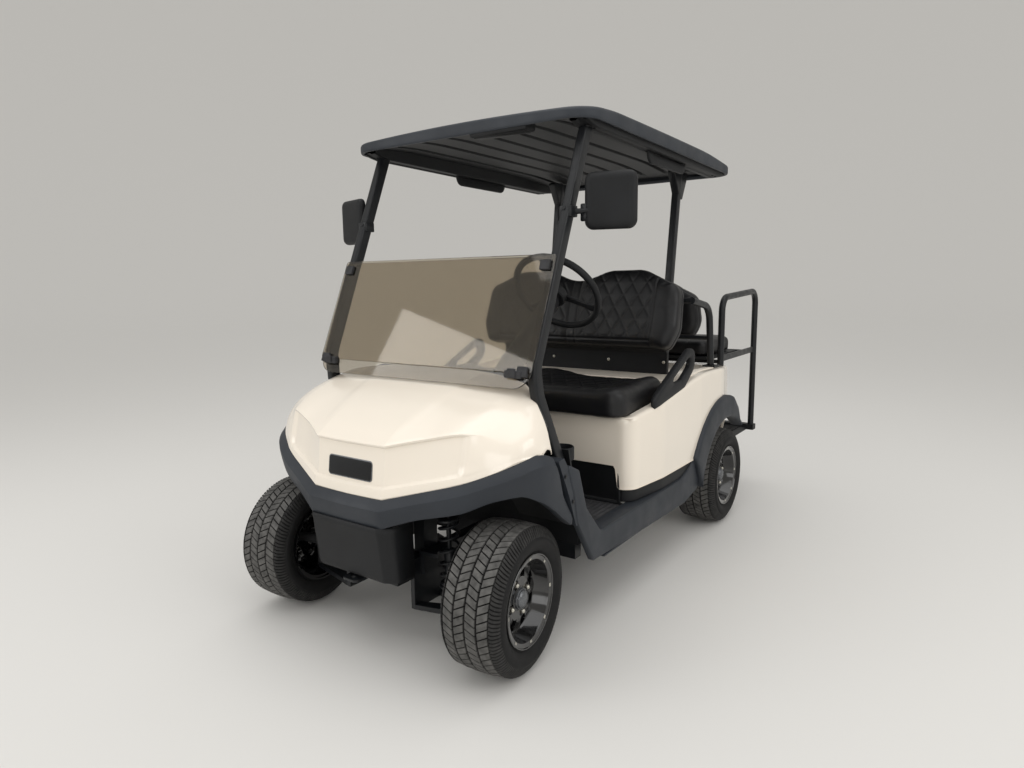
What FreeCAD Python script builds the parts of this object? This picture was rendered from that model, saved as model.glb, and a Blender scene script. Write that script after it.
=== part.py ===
import FreeCAD, Part
import math
import os
from FreeCAD import Vector

# Four-seat golf cart. Millimetres, +Z up, nose towards -Y, driver's side +X.
# Everything is drawn with y counted from the front axle, then moved so that the
# origin lies on the floor under the middle of the overall length.

# Overall and running gear
WHEELBASE = 1664.0
HALF_TRACK_FRONT = 459.0
HALF_TRACK_REAR = 517.0
SPRING_REACH = 0.2 * WHEELBASE
FOOT_PLATE_SETBACK = 73.2
FOOT_PLATE_DEPTH = 330.0
FOOT_PLATE_FRONT_Y = WHEELBASE + SPRING_REACH + FOOT_PLATE_SETBACK
TAIL_REACH = FOOT_PLATE_FRONT_Y + FOOT_PLATE_DEPTH
TYRE_RADIUS = 229.5
TYRE_WIDTH = 205.0
RIM_FLANGE_RADIUS = 143.0
RIM_HALF_WIDTH = 93.0
RIM_WALL = 4.0
HUB_RADIUS = 62.0
LUG_COUNT = 4
LUG_CIRCLE = 50.8
STEER_AT_REST = 5.0
KINGPIN_OFFSET = 85.0
SPINDLE_RADIUS = 17.0
TIE_ROD_Y = 90.0
TIE_ROD_X = 325.0
RACK_HALF = 108.0
RUN_GAP = 0.3
DIFF_RADIUS = 92.0

# Chassis
RAIL_X = 135.0
RAIL_WIDTH = 50.0
RAIL_BOTTOM = 240.0
RAIL_HEIGHT = 60.0
RAIL_END_Y = FOOT_PLATE_FRONT_Y - 12.0
RAIL_RISE = 60.0
BATTERY_LENGTH = 320.0
FLOOR_TOP = 330.0
FLOOR_THICK = 30.0
MAT_THICK = 5.0
TOE_BOARD_Y = 330.0
TOE_BOARD_TOP_Y = 268.0
TOE_BOARD_TOP_Z = 640.0

# Body
WALL = 4.0
BODY_FRONT_Y = 690.0
BODY_REAR_Y = WHEELBASE + 231.0
BODY_HALF_WIDTH = 590.0
BODY_BOTTOM_Z = 390.0
SEAT_DECK_Z = 667.0
WELL_HALF_WIDTH = 546.0
WELL_REAR_Y = BODY_FRONT_Y + 508.0
REAR_DECK_Z = 765.0
KICK_TOP_Z = 480.0
SILL_TOP_Z = 340.0
SILL_OUTER_X = 588.0
DASH_HALF_WIDTH = 455.0
ARCH_CENTRE_Z = 175.0
ARCH_RADIUS = 341.0
FLARE_RADIUS = 445.0
FLARE_PROUD = 20.0
FLARE_DEPTH = 40.0

# Seats
CUSHION_HALF_WIDTH = 538.0
CUSHION_FRONT_Y = BODY_FRONT_Y - 48.0
CUSHION_REAR_Y = BODY_FRONT_Y + 410.0
CUSHION_THICK = 84.0
BACK_THICK = 105.0
BACK_FRONT_Y = BODY_FRONT_Y + 475.0
BACK_HALF_WIDTH = 530.0
BACK_BOTTOM_Z = 878.0
BACK_TOP_Z = 1250.0
BACK_DIP = 52.0
BACK_RECLINE = 16.0
REAR_CUSHION_HALF_WIDTH = 465.0
REAR_CUSHION_DEPTH = 425.0
REAR_CUSHION_FRONT_Y = BODY_REAR_Y - 135.0
REAR_CUSHION_REAR_Y = REAR_CUSHION_FRONT_Y + REAR_CUSHION_DEPTH
REAR_BOARD_THICK = 14.0
REAR_BOARD_Z = 778.0
FLIP_AXIS_Y = REAR_CUSHION_REAR_Y + 15.0
TUBE_RADIUS = 16.0
HOOP_X = 520.0
HOOP_FRONT_Y = BODY_REAR_Y - 109.0
HOOP_REAR_Y = TAIL_REACH - 45.0
HINGE_RADIUS = 10.0

# Roof and windscreen
ROOF_FRONT_Y = 376.0
ROOF_REAR_Y = WHEELBASE + 162.0
ROOF_HALF_WIDTH = 540.0
ROOF_RIM_FRONT_Z = 1692.0
ROOF_RIM_REAR_Z = 1668.0
ROOF_CROWN_Z = 1752.0
ROOF_CORNER = 95.0
PILLAR_WIDTH = 30.0
PILLAR_DEPTH = 46.0
SCREEN_HALF_WIDTH = 472.0
SCREEN_THICK = 5.0
SCREEN_TOP_Z = 1255.0
SCREEN_RAKE = 22.9
SCREEN_STANDOFF = 38.0

AXLE_Z = TYRE_RADIUS
KINGPIN_X = HALF_TRACK_FRONT - KINGPIN_OFFSET


# Shape helpers
def box(x0, x1, y0, y1, z0, z1):
    return Part.makeBox(x1 - x0, y1 - y0, z1 - z0, Vector(x0, y0, z0))


def rod(start, end, radius):
    a = Vector(*start)
    b = Vector(*end)
    return Part.makeCylinder(radius, a.distanceToPoint(b), a, b - a)


def fuse(shapes):
    joined = shapes[0].multiFuse(shapes[1:]) if len(shapes) > 1 else shapes[0]
    return joined.removeSplitter()


def mirrored(shape):
    return shape.mirror(Vector(0, 0, 0), Vector(1, 0, 0))


def pair(shape):
    """The shape and its mirror image across the cart's middle plane, not touching."""
    return Part.makeCompound([shape, mirrored(shape)])


def whole(shape):
    """The shape joined to its mirror image at the middle plane."""
    return fuse([shape, mirrored(shape)])


def polygon(points):
    corners = [Vector(*p) for p in points]
    return Part.makePolygon(corners + [corners[0]])


def plane_point(plane, a, b, level):
    return {"x": Vector(level, a, b), "y": Vector(a, level, b), "z": Vector(a, b, level)}[plane]


def outline(points, plane, level, radius=0.0):
    """Closed flat wire through (a, b) points, each corner rounded; a third value sets its own radius."""
    nodes = [(plane_point(plane, p[0], p[1], level), p[2] if len(p) > 2 else radius) for p in points]
    edges = []
    joints = []
    for i, (corner, r) in enumerate(nodes):
        before = (nodes[i - 1][0] - corner).normalize()
        after = (nodes[(i + 1) % len(nodes)][0] - corner).normalize()
        half = before.getAngle(after) / 2
        if r <= 0 or half > math.pi / 2 - 0.01:
            joints.append((corner, None, corner))
            continue
        reach = r / math.tan(half)
        bisector = (before + after).normalize()
        middle = corner + bisector * (r / math.sin(half) - r)
        joints.append((corner + before * reach, middle, corner + after * reach))
    for i, (start, middle, end) in enumerate(joints):
        if middle is not None:
            edges.append(Part.Arc(start, middle, end).toShape())
        following = joints[(i + 1) % len(joints)][0]
        if end.distanceToPoint(following) > 1e-6:
            edges.append(Part.LineSegment(end, following).toShape())
    return Part.Wire(edges)


def prism(points, plane, low, high, radius=0.0):
    """Flat outline carried straight from low to high along the plane's normal."""
    face = Part.Face(outline(points, plane, low, radius))
    return face.extrude(plane_point(plane, 0, 0, high - low))


def tube(points, radius, bend):
    """Round bar along straight runs joined by tangent arcs of the bend radius."""
    nodes = [Vector(*p) for p in points]
    edges = []
    last = nodes[0]
    for i in range(1, len(nodes) - 1):
        before = (nodes[i - 1] - nodes[i]).normalize()
        after = (nodes[i + 1] - nodes[i]).normalize()
        half = before.getAngle(after) / 2
        reach = bend / math.tan(half)
        start = nodes[i] + before * reach
        end = nodes[i] + after * reach
        middle = nodes[i] + (before + after).normalize() * (bend / math.sin(half) - bend)
        edges.append(Part.LineSegment(last, start).toShape())
        edges.append(Part.Arc(start, middle, end).toShape())
        last = end
    edges.append(Part.LineSegment(last, nodes[-1]).toShape())
    section = Part.Wire(Part.makeCircle(radius, nodes[0], nodes[1] - nodes[0]))
    return Part.Wire(edges).makePipeShell([section], True, False)


def ribbon(points, width, depth):
    """Flat strut: rectangles across X and across the path in the side plane, joined by flat faces."""
    sections = []
    for i, (x, y, z) in enumerate(points):
        y0, z0 = points[max(i - 1, 0)][1:]
        y1, z1 = points[min(i + 1, len(points) - 1)][1:]
        run = math.hypot(y1 - y0, z1 - z0)
        ny = -(z1 - z0) / run * depth / 2
        nz = (y1 - y0) / run * depth / 2
        h = width / 2
        sections.append(polygon([(x - h, y - ny, z - nz), (x + h, y - ny, z - nz),
                                 (x + h, y + ny, z + nz), (x - h, y + ny, z + nz)]))
    return Part.makeLoft(sections, True, True)


def strip(stations, wall):
    """Thin wall through stations; each is a list of (x, y, z) points with an inward direction each."""
    sections = []
    for points, inward in stations:
        outer = [Vector(*p) for p in points]
        inner = [o + Vector(*d).normalize() * wall for o, d in zip(outer, inward)]
        sections.append(Part.makePolygon(outer + inner[::-1] + [outer[0]]))
    return Part.makeLoft(sections, True, True)


def spin(points, centre):
    """Closed profile of (x, radius) points turned about the X axis through the centre."""
    cx, cy, cz = centre
    wire = polygon([(cx + p[0], cy, cz + p[1]) for p in points])
    return Part.Face(wire).revolve(Vector(cx, cy, cz), Vector(1, 0, 0), 360)


# Wheels and steering
def tyre(centre):
    """Low tyre: bead, bulged wall and a gently crowned tread, with its air space."""
    cx, cy, cz = centre
    half = TYRE_WIDTH / 2
    bead = RIM_HALF_WIDTH - 7
    seat = RIM_FLANGE_RADIUS - 16
    shoulder = TYRE_RADIUS - 7.5
    carcass = 11.0

    def at(x, r):
        return Vector(cx + x, cy, cz + r)

    def arc(a, b, c):
        return Part.Arc(at(*a), at(*b), at(*c)).toShape()

    def line(a, b):
        return Part.LineSegment(at(*a), at(*b)).toShape()

    side = 0.79 * half
    edges = [
        arc((bead, seat + 20), (half, 0.5 * (seat + 20 + shoulder - 12)), (side + 10, shoulder - 12)),
        arc((side + 10, shoulder - 12), (side + 5, shoulder - 3), (side - 6, shoulder + 2.5)),
        arc((side - 6, shoulder + 2.5), (0, TYRE_RADIUS), (6 - side, shoulder + 2.5)),
        arc((6 - side, shoulder + 2.5), (-side - 5, shoulder - 3), (-side - 10, shoulder - 12)),
        arc((-side - 10, shoulder - 12), (-half, 0.5 * (seat + 20 + shoulder - 12)), (-bead, seat + 20)),
        line((-bead, seat + 20), (-bead, seat)),
        line((-bead, seat), (-bead + 14, seat)),
        line((-bead + 14, seat), (-bead + 14, seat + 20)),
        arc((-bead + 14, seat + 20), (-half + carcass, 0.5 * (seat + 20 + shoulder - 12)),
            (-side + 4, shoulder - 18)),
        arc((-side + 4, shoulder - 18), (0, TYRE_RADIUS - carcass - 6), (side - 4, shoulder - 18)),
        arc((side - 4, shoulder - 18), (half - carcass, 0.5 * (seat + 20 + shoulder - 12)),
            (bead - 14, seat + 20)),
        line((bead - 14, seat + 20), (bead - 14, seat)),
        line((bead - 14, seat), (bead, seat)),
        line((bead, seat), (bead, seat + 20)),
    ]
    return Part.Face(Part.Wire(edges)).revolve(Vector(*centre), Vector(1, 0, 0), 360)


def rim(centre, outward):
    """Deep dish wheel; outward is +1 on the driver's side and -1 on the other."""
    cx, cy, cz = centre
    edge = RIM_HALF_WIDTH
    flange = RIM_FLANGE_RADIUS
    seat = flange - 16
    well = flange - 34
    disc_x = 26.0
    hub = HUB_RADIUS
    outer = [(-edge, flange), (-edge + 6, flange), (-edge + 7, seat), (-edge + 26, seat), (-edge + 38, well),
             (disc_x - 8, well), (disc_x + 6, seat), (edge - 7, seat), (edge - 6, flange), (edge, flange)]
    t = RIM_WALL
    inner = [(edge, flange - t - 4), (edge - 8, seat - t), (disc_x + 8, seat - t), (disc_x, well - t),
             (-edge + 40, well - t), (-edge + 27, seat - t), (-edge, seat - t)]
    barrel = spin([(outward * x, r) for x, r in outer + inner], centre)
    face = spin([(outward * x, r) for x, r in [
        (disc_x, 0), (disc_x, well - t + 2), (disc_x + 7, well - t + 2), (disc_x + 16, hub + 10),
        (disc_x + 22, hub), (disc_x + 22, 34), (disc_x + 40, 32), (disc_x + 46, 24), (disc_x + 48, 0)]], centre)
    shapes = [barrel, face]
    for i in range(LUG_COUNT):
        angle = math.radians(360.0 * i / LUG_COUNT + 20)
        y = cy + LUG_CIRCLE * math.cos(angle)
        z = cz + LUG_CIRCLE * math.sin(angle)
        start = (cx + outward * (disc_x + 20), y, z)
        shapes.append(rod(start, (cx + outward * (disc_x + 36), y, z), 9.5))
    return fuse(shapes)


def knuckle(side):
    """Upright with kingpin barrel, spindle and steering arm, drawn straight ahead."""
    x = side * KINGPIN_X
    spindle_end = side * (HALF_TRACK_FRONT + 26.0 - RUN_GAP)
    upright = rod((x, 0, AXLE_Z - 80), (x, 0, AXLE_Z + 80), 21)
    spindle = rod((x, 0, AXLE_Z), (spindle_end, 0, AXLE_Z), SPINDLE_RADIUS)
    arm_z = AXLE_Z - 38
    arm = fuse([rod((x, 0, arm_z), (side * TIE_ROD_X, TIE_ROD_Y * 0.5, arm_z), 9),
                rod((side * TIE_ROD_X, TIE_ROD_Y * 0.4, arm_z), (side * TIE_ROD_X, TIE_ROD_Y, arm_z), 9),
                rod((side * TIE_ROD_X, TIE_ROD_Y, arm_z - 7), (side * TIE_ROD_X, TIE_ROD_Y, arm_z + 9), 15)])
    return fuse([upright, spindle, arm])


def steered(shape, side):
    turned = shape.copy()
    turned.rotate(Vector(side * KINGPIN_X, 0, 0), Vector(0, 0, 1), STEER_AT_REST)
    return turned


def tie_rods():
    """Rack bar and the two rods out to the steering arms, which end just above them."""
    z = AXLE_Z - 38 + 9 + 22
    end_z = AXLE_Z - 38 + 9 + RUN_GAP
    shift = -TIE_ROD_Y * math.sin(math.radians(STEER_AT_REST))
    bar = rod((-190, TIE_ROD_Y, z), (190, TIE_ROD_Y, z), 10)
    shapes = [bar]
    for side in (-1, 1):
        end_x = side * TIE_ROD_X + shift
        shapes.append(rod((side * 185, TIE_ROD_Y, z), (end_x, TIE_ROD_Y, z), 8))
        shapes.append(rod((end_x, TIE_ROD_Y, end_z), (end_x, TIE_ROD_Y, z + 10), 12))
    return fuse(shapes)


def steering_rack():
    """Housing round the rack bar with its two feet and the pinion tower."""
    z = AXLE_Z - 38 + 9 + 22
    y = TIE_ROD_Y
    shell = rod((-RACK_HALF, y, z), (RACK_HALF, y, z), 24)
    feet = [box(side * 119 - 20, side * 119 + 20, y - 18, y + 18, z - 4, RAIL_BOTTOM) for side in (-1, 1)]
    tower = rod((60, y + 4, z), (78, y + 66, z + 70), 17)
    bore = rod((-RACK_HALF - 40, y, z), (RACK_HALF + 40, y, z), 10 + RUN_GAP)
    return fuse([shell, tower] + feet).cut(bore)


# Chassis
def frame_rails():
    """Ladder frame welded from box tube: two rails that kick up at the rear, cross tubes, outriggers and a tow tab."""
    low = RAIL_BOTTOM
    high = RAIL_BOTTOM + RAIL_HEIGHT
    half = RAIL_WIDTH / 2
    rise = RAIL_RISE
    kick_y = WHEELBASE - 270
    kick = [(-150, low), (kick_y, low), (kick_y + 90, low + rise), (RAIL_END_Y, low + rise),
            (RAIL_END_Y, high + rise), (kick_y + 70, high + rise), (kick_y - 20, high), (-150, high)]
    shapes = [prism(kick, "x", side * RAIL_X - half, side * RAIL_X + half) for side in (-1, 1)]
    crossings = [  # y, z of the bottom, half width
        (-150, low, 0), (330, low, 520), (700, low, 500), (BODY_FRONT_Y + 430, low, 500),
        (WHEELBASE - 334, low, 0), (RAIL_END_Y - 40, low + rise, 330)]
    inner = RAIL_X - half
    outer = RAIL_X + half
    for y, z, reach in crossings:
        shapes.append(box(-inner, inner, y, y + 40, z + 4, z + RAIL_HEIGHT - 4))
        if reach:
            outrigger = box(outer, reach, y, y + 40, z + 4, z + RAIL_HEIGHT - 4)
            shapes += [outrigger, mirrored(outrigger)]
    tab = prism([(-34, -110), (-34, -208, 16), (34, -208, 16), (34, -110)], "z", low, low + 8)
    shapes[2] = fuse([shapes[2], tab.cut(Part.makeCylinder(8, 40, Vector(0, -188, low - 10)))])
    return Part.makeCompound(shapes)


def suspension_arms():
    """Lower A arms from the rails out to the knuckles, with the upper eye of each upright."""
    z = AXLE_Z - 80 - RUN_GAP
    shapes = []
    inner = RAIL_X + RAIL_WIDTH / 2
    arm = prism([(inner - 8, -78, 6), (KINGPIN_X + 8, -22, 14), (KINGPIN_X + 8, 22, 14), (inner - 8, 78, 6),
                 (inner - 8, 48), (inner + 85, 12, 8), (inner + 85, -12, 8), (inner - 8, -48)],
                "z", z - 16, z)
    ear = box(inner - 16, inner, -76, 76, z - 16, RAIL_BOTTOM)
    shapes.append(fuse([arm, ear]))
    top_z = AXLE_Z + 80 + RUN_GAP
    link = prism([(inner, -46), (KINGPIN_X + 8, -18, 12), (KINGPIN_X + 8, 18, 12), (inner, 46)],
                 "z", top_z, top_z + 12)
    post = box(inner, inner + 16, -44, 44, RAIL_BOTTOM + 4, top_z + 12)
    window = rod((inner + 92, 0, top_z - 5), (inner + 92, 0, top_z + 20), 43)
    shapes.append(fuse([link, post]).cut(window))
    return pair(Part.makeCompound(shapes))


def shock(foot, head, body_radius, coil_radius, coil_count, wire):
    """Coil-over: rod, damper body, spring seats and stacked coil turns."""
    a = Vector(*foot)
    b = Vector(*head)
    length = a.distanceToPoint(b)
    shapes = [Part.makeCylinder(body_radius, length * 0.62),
              Part.makeCylinder(body_radius * 0.45, length),
              Part.makeCylinder(coil_radius + wire, 6, Vector(0, 0, length * 0.2)),
              Part.makeCylinder(coil_radius + wire, 6, Vector(0, 0, length * 0.9))]
    eye = Part.makeCylinder(13, 30, Vector(-15, 0, 13), Vector(1, 0, 0))
    shapes.append(eye)
    span = length * 0.7
    for i in range(coil_count):
        z = length * 0.2 + span * (i + 0.5) / coil_count
        shapes.append(Part.makeCylinder(coil_radius, wire, Vector(0, 0, z)))
    unit = fuse(shapes)
    turn = FreeCAD.Rotation(Vector(0, 0, 1), b - a)
    unit.Placement = FreeCAD.Placement(a, turn)
    return unit


def front_shocks():
    z = AXLE_Z - 80 - RUN_GAP
    return pair(shock((RAIL_X + 117, 0, z), (RAIL_X + 108, 0, z + 330), 19, 30, 6, 7).cut(
        box(0, 500, -80, 80, z - 40, z)))


def shock_towers():
    """Box towers that hold the shock heads, standing on the rails and tied by a beam."""
    x = RAIL_X
    head_z = AXLE_Z - 80 + 330
    posts = [box(side * x - 22, side * x + 22, -20, 44, RAIL_BOTTOM + RAIL_HEIGHT, head_z) for side in (-1, 1)]
    caps = [box(min(side * (x - 30), side * (x + 140)), max(side * (x - 30), side * (x + 140)), -24, 48,
                head_z, head_z + 10) for side in (-1, 1)]
    beam = box(-x, x, 0, 30, head_z - 40, head_z)
    return fuse(posts + caps + [beam])


def rear_axle():
    y = WHEELBASE
    z = AXLE_Z
    drum_x = HALF_TRACK_REAR - 62
    casing = [(-80, 0), (-80, 45), (-55, 80), (-25, DIFF_RADIUS), (25, DIFF_RADIUS), (55, 80), (80, 45), (80, 0)]
    shapes = [rod((-drum_x, y, z), (drum_x, y, z), 32), spin(casing, (0, y, z))]
    for side in (-1, 1):
        shapes.append(rod((side * (drum_x - 36), y, z), (side * (drum_x + 44), y, z), 92))
        shapes.append(rod((side * (drum_x + 44), y, z), (side * (HALF_TRACK_REAR + 26 - RUN_GAP), y, z), 17))
        shapes.append(box(side * 250 - 30, side * 250 + 30, y - 45, y + 45, z + 20, z + 42))
    return fuse(shapes)


def motor():
    y = WHEELBASE
    z = AXLE_Z
    return rod((0, y + DIFF_RADIUS, z + 10), (0, y + DIFF_RADIUS + 233, z + 10), 86)


def rear_springs():
    """Two packs of leaves over the axle, from the front hanger to the rear shackle."""
    y = WHEELBASE
    z = AXLE_Z + 42
    packs = []
    for leaf, share in enumerate((1.0, 0.76, 0.48)):
        reach = share * SPRING_REACH
        top = z + 8 * leaf
        sag = 24 * share * share
        packs.append(prism([(y - reach, top + sag), (y, top), (y + reach, top + sag), (y + reach, top + 8 + sag),
                            (y, top + 8), (y - reach, top + 8 + sag)], "x", 225, 275))
    inner = RAIL_X + RAIL_WIDTH / 2
    near = SPRING_REACH - 10
    far = SPRING_REACH + 20
    hangers = [box(inner, 282, y - far, y - near, z, z + 62), box(inner, 282, y + near, y + far, z + 18, z + 62)]
    return pair(fuse(packs + hangers))


def battery_pack():
    front = BODY_FRONT_Y + 70
    rear = front + BATTERY_LENGTH
    return prism([(-420, front), (420, front), (420, rear), (-420, rear)], "z", RAIL_BOTTOM + RAIL_HEIGHT,
                 SEAT_DECK_Z - 45, 20)


def floor_pan():
    """Floor, raked toe board and front bulkhead, one thick pressing."""
    top = FLOOR_TOP
    low = FLOOR_TOP - FLOOR_THICK
    side = [(BODY_FRONT_Y + 30, low), (BODY_FRONT_Y + 30, top), (TOE_BOARD_Y + 60, top), (TOE_BOARD_Y, top + 60),
            (TOE_BOARD_TOP_Y, TOE_BOARD_TOP_Z), (TOE_BOARD_TOP_Y - 8, TOE_BOARD_TOP_Z),
            (TOE_BOARD_Y - 8, top + 56), (TOE_BOARD_Y - 8, low)]
    pan = prism(side, "x", -535, 535)
    step = box(-SILL_OUTER_X + WALL, SILL_OUTER_X - WALL, 400, BODY_FRONT_Y + 30, low, top)
    return fuse([pan, step]).cut(front_pillars())


def floor_mat():
    top = FLOOR_TOP
    base = prism([(-520, TOE_BOARD_Y + 70), (520, TOE_BOARD_Y + 70), (520, BODY_FRONT_Y - 2),
                  (-520, BODY_FRONT_Y - 2)], "z", top, top + MAT_THICK, 15)
    return base


def wheel_liners():
    """Curved inner guards over the front wheels."""
    radius = 300.0
    guard = Part.makeCylinder(radius, 210, Vector(340, 0, AXLE_Z + 22), Vector(1, 0, 0))
    guard = guard.cut(Part.makeCylinder(radius - WALL, 212, Vector(339, 0, AXLE_Z + 22), Vector(1, 0, 0)))
    line = [(min(x - 12, 540), y + 12) for x, y in [row[:2] for row in NOSE_LINE[3:8]]]
    plan = [(340, line[0][1])] + line + [(line[-1][0], 260), (340, 260)]
    return pair(guard.common(prism(plan, "z", AXLE_Z + 150, AXLE_Z + 400)))


# Front body: plan line of the nose, from the middle to the pillar foot
# columns: x, y, hood edge z, fascia lower edge z
NOSE_LINE = [
    (0, -194, 528, 440),
    (148, -194, 531, 446),
    (256, -155, 559, 482),
    (386, -106, 595, 512),
    (476, -58, 630, 552),
    (524, -12, 655, 562),
    (553, 45, 672, 536),
    (566, 105, 655, 494),
    (571, 158, 527, 452),
    (575, 204, 450, 418),
]
# Hood profiles; columns: x, then y and z of the lip, ledge, crease, curve handle and rear edge
HOOD_PROFILES = [
    (0, (-194, 528), (-191, 553), (-174, 690), (10, 815), (261, 877)),
    (156, (-194, 532), (-190, 557), (-174, 692), (10, 815), (256, 874)),
    (256, (-155, 559), (-152, 582), (-121, 715), (35, 818), (245, 868)),
    (386, (-106, 595), (-103, 613), (-73, 737), (50, 818), (222, 850)),
    (440, (-77, 614), (-75, 630), (-52, 728), (48, 806), (190, 828)),
    (490, (-45, 638), (-43, 650), (-22, 712), (48, 775), (150, 790)),
    (532, (0, 662), (2, 668), (16, 700), (55, 742), (128, 735)),
    (560, (72, 668), (74, 671), (80, 678), (92, 684), (110, 672)),
]
LIP_PROUD = 22.0


def hood_row(profile):
    """Points of one lengthwise profile: lip, ledge, crease, then a quadratic curve to the rear edge."""
    x, lip, ledge, crease, handle, rear = profile
    points = [lip, ledge, crease]
    for t in (0.2, 0.45, 0.7, 1.0):
        y = (1 - t) ** 2 * crease[0] + 2 * t * (1 - t) * handle[0] + t * t * rear[0]
        z = (1 - t) ** 2 * crease[1] + 2 * t * (1 - t) * handle[1] + t * t * rear[1]
        points.append((y, z))
    return [(x, y, z) for y, z in points]


def front_hood():
    stations = []
    for profile in HOOD_PROFILES:
        row = hood_row(profile)
        inward = []
        for i in range(len(row)):
            a = row[max(i - 1, 0)]
            b = row[min(i + 1, len(row) - 1)]
            inward.append((0, b[2] - a[2], a[1] - b[1]))
        stations.append((row, inward))
    shell = whole(strip(stations, WALL))
    post = ribbon(pillar_path(), PILLAR_WIDTH, PILLAR_DEPTH)
    return shell.cut(post).cut(mirrored(post))


def outward_at(index):
    x0, y0 = NOSE_LINE[max(index - 1, 0)][:2]
    x1, y1 = NOSE_LINE[min(index + 1, len(NOSE_LINE) - 1)][:2]
    if index == 0:
        return (0.0, -1.0)
    run = math.hypot(x1 - x0, y1 - y0)
    return ((y1 - y0) / run, -(x1 - x0) / run)


def front_fascia():
    """Bumper band and front wing from the middle to the pillar foot, with the lower centre box."""
    stations = []
    for i, (x, y, top, bottom) in enumerate(NOSE_LINE):
        nx, ny = outward_at(i)
        proud = LIP_PROUD if i < 7 else LIP_PROUD * (9 - i) / 3
        height = top - bottom
        levels = [(-6, top - 0.05 * height), (proud * 0.8, top - 0.14 * height), (proud, top - 0.3 * height), (proud * 0.7, bottom)]
        row = [(x + nx * d, y + ny * d, z) for d, z in levels]
        stations.append((row, [(-nx, -ny, 0)] * len(row)))
    band = strip(stations, WALL)
    chin = [(0, -216), (150, -216, 14), (205, -190, 26), (218, -110), (0, -110)]
    outer = prism(chin, "z", 262, 452)
    inner = prism([(-1, -216 + WALL), (148, -216 + WALL, 12), (201, -188 + WALL, 22), (213, -109), (-1, -109)],
                  "z", 255, 470)
    return whole(fuse([band, outer.cut(inner)]))


def rockers():
    """Front post and sill in one skin with an inward top ledge."""
    rear = WHEELBASE - ARCH_RADIUS
    side = [(228, 416), (336, 251, 10), (720, 236, 60), (rear - 165, 222, 30), (rear - 5, 250, 20), (rear - 1, 292),
            (rear - 61, 398, 8), (rear - 143, 356, 60), (rear - 213, SILL_TOP_Z, 60), (392, SILL_TOP_Z, 40),
            (318, 470, 60), (272, 512, 14), (240, 500, 10)]
    skin = prism(side, "x", SILL_OUTER_X - WALL, SILL_OUTER_X)
    ledge = box(524, SILL_OUTER_X - WALL, 400, rear - 173, SILL_TOP_Z - WALL, SILL_TOP_Z)
    hem = box(560, SILL_OUTER_X - WALL, 420, rear - 143, 238, 242)
    return fuse([skin, ledge, hem]).cut(body_solid(0)).cut(flare_space(1, 0))


def pillar_feet():
    """Black trims between wing and post that cover the pillar foot."""
    side = [(118, 640, 6), (150, 645, 6), (250, 505, 10), (262, 420, 8), (226, 404, 6), (180, 520, 30)]
    return prism(side, "x", 540, SILL_OUTER_X - WALL)


def dash_panel():
    """Dash with cup recesses and open bins, facing the seats."""
    side = [(268, 640), (268, 842, 18), (300, 868, 10), (352, 850, 22), (372, 760, 20), (352, 640, 20)]
    body = prism(side, "x", -DASH_HALF_WIDTH, DASH_HALF_WIDTH)
    bins = [(-350, -60), (60, 130)]
    for x0, x1 in bins:
        body = body.cut(box(x0, x1, 306, 400, 690, 800))
    for x in (-400, 400):
        body = body.cut(Part.makeCylinder(36, 90, Vector(x, 322, 790)))
    return body.cut(steering_column())


def cup_rings():
    """Ring cup holders outboard of the dash, on a stem to the pillar foot trim."""
    x = DASH_HALF_WIDTH + 52
    ring = Part.makeCylinder(44, 44, Vector(x, 318, 642)).cut(Part.makeCylinder(38, 40, Vector(x, 318, 648)))
    stem = box(DASH_HALF_WIDTH, x - 40, 300, 336, 650, 680)
    return fuse([ring, stem]).cut(Part.makeCylinder(38, 40, Vector(x, 318, 648)))


def pedals():
    pads = []
    for x, width in ((120, 90), (250, 60)):
        pad = box(x - width / 2, x + width / 2, 0, 12, -50, 50)
        pad.rotate(Vector(0, 0, 0), Vector(1, 0, 0), -28)
        pad.translate(Vector(0, 392, FLOOR_TOP + 115))
        stem = rod((x, 398, FLOOR_TOP + 100), (x, 298, FLOOR_TOP + 180), 8)
        whole_pedal = fuse([pad, stem]).cut(floor_pan())
        pads.append(max(whole_pedal.Solids, key=lambda solid: solid.Volume))
    return Part.makeCompound(pads)


WHEEL_CENTRE = (270.0, 629.0, 1136.0)
COLUMN_FOOT = (270.0, 322.0, 888.0)


def column_axis():
    return (Vector(*WHEEL_CENTRE) - Vector(*COLUMN_FOOT)).normalize()


def steering_column():
    axis = column_axis()
    start = Vector(*COLUMN_FOOT) - axis * 50
    end = Vector(*WHEEL_CENTRE) - axis * (46 + RUN_GAP)
    shroud = Part.makeCone(42, 30, end.distanceToPoint(start), start, axis)
    return shroud


def steering_wheel():
    axis = column_axis()
    turn = FreeCAD.Rotation(Vector(0, 0, 1), axis)
    shapes = [Part.makeTorus(165, 13), Part.makeCylinder(44, 34, Vector(0, 0, -34)), Part.makeCylinder(24, 20, Vector(0, 0, -46))]
    for angle in (0, 120, 240):
        a = math.radians(angle + 90)
        spoke = box(30, 160, -15, 15, -8, 4)
        spoke.rotate(Vector(0, 0, 0), Vector(0, 0, 1), math.degrees(a))
        shapes.append(spoke)
    wheel = fuse(shapes)
    wheel.Placement = FreeCAD.Placement(Vector(*WHEEL_CENTRE), turn)
    return wheel


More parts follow.
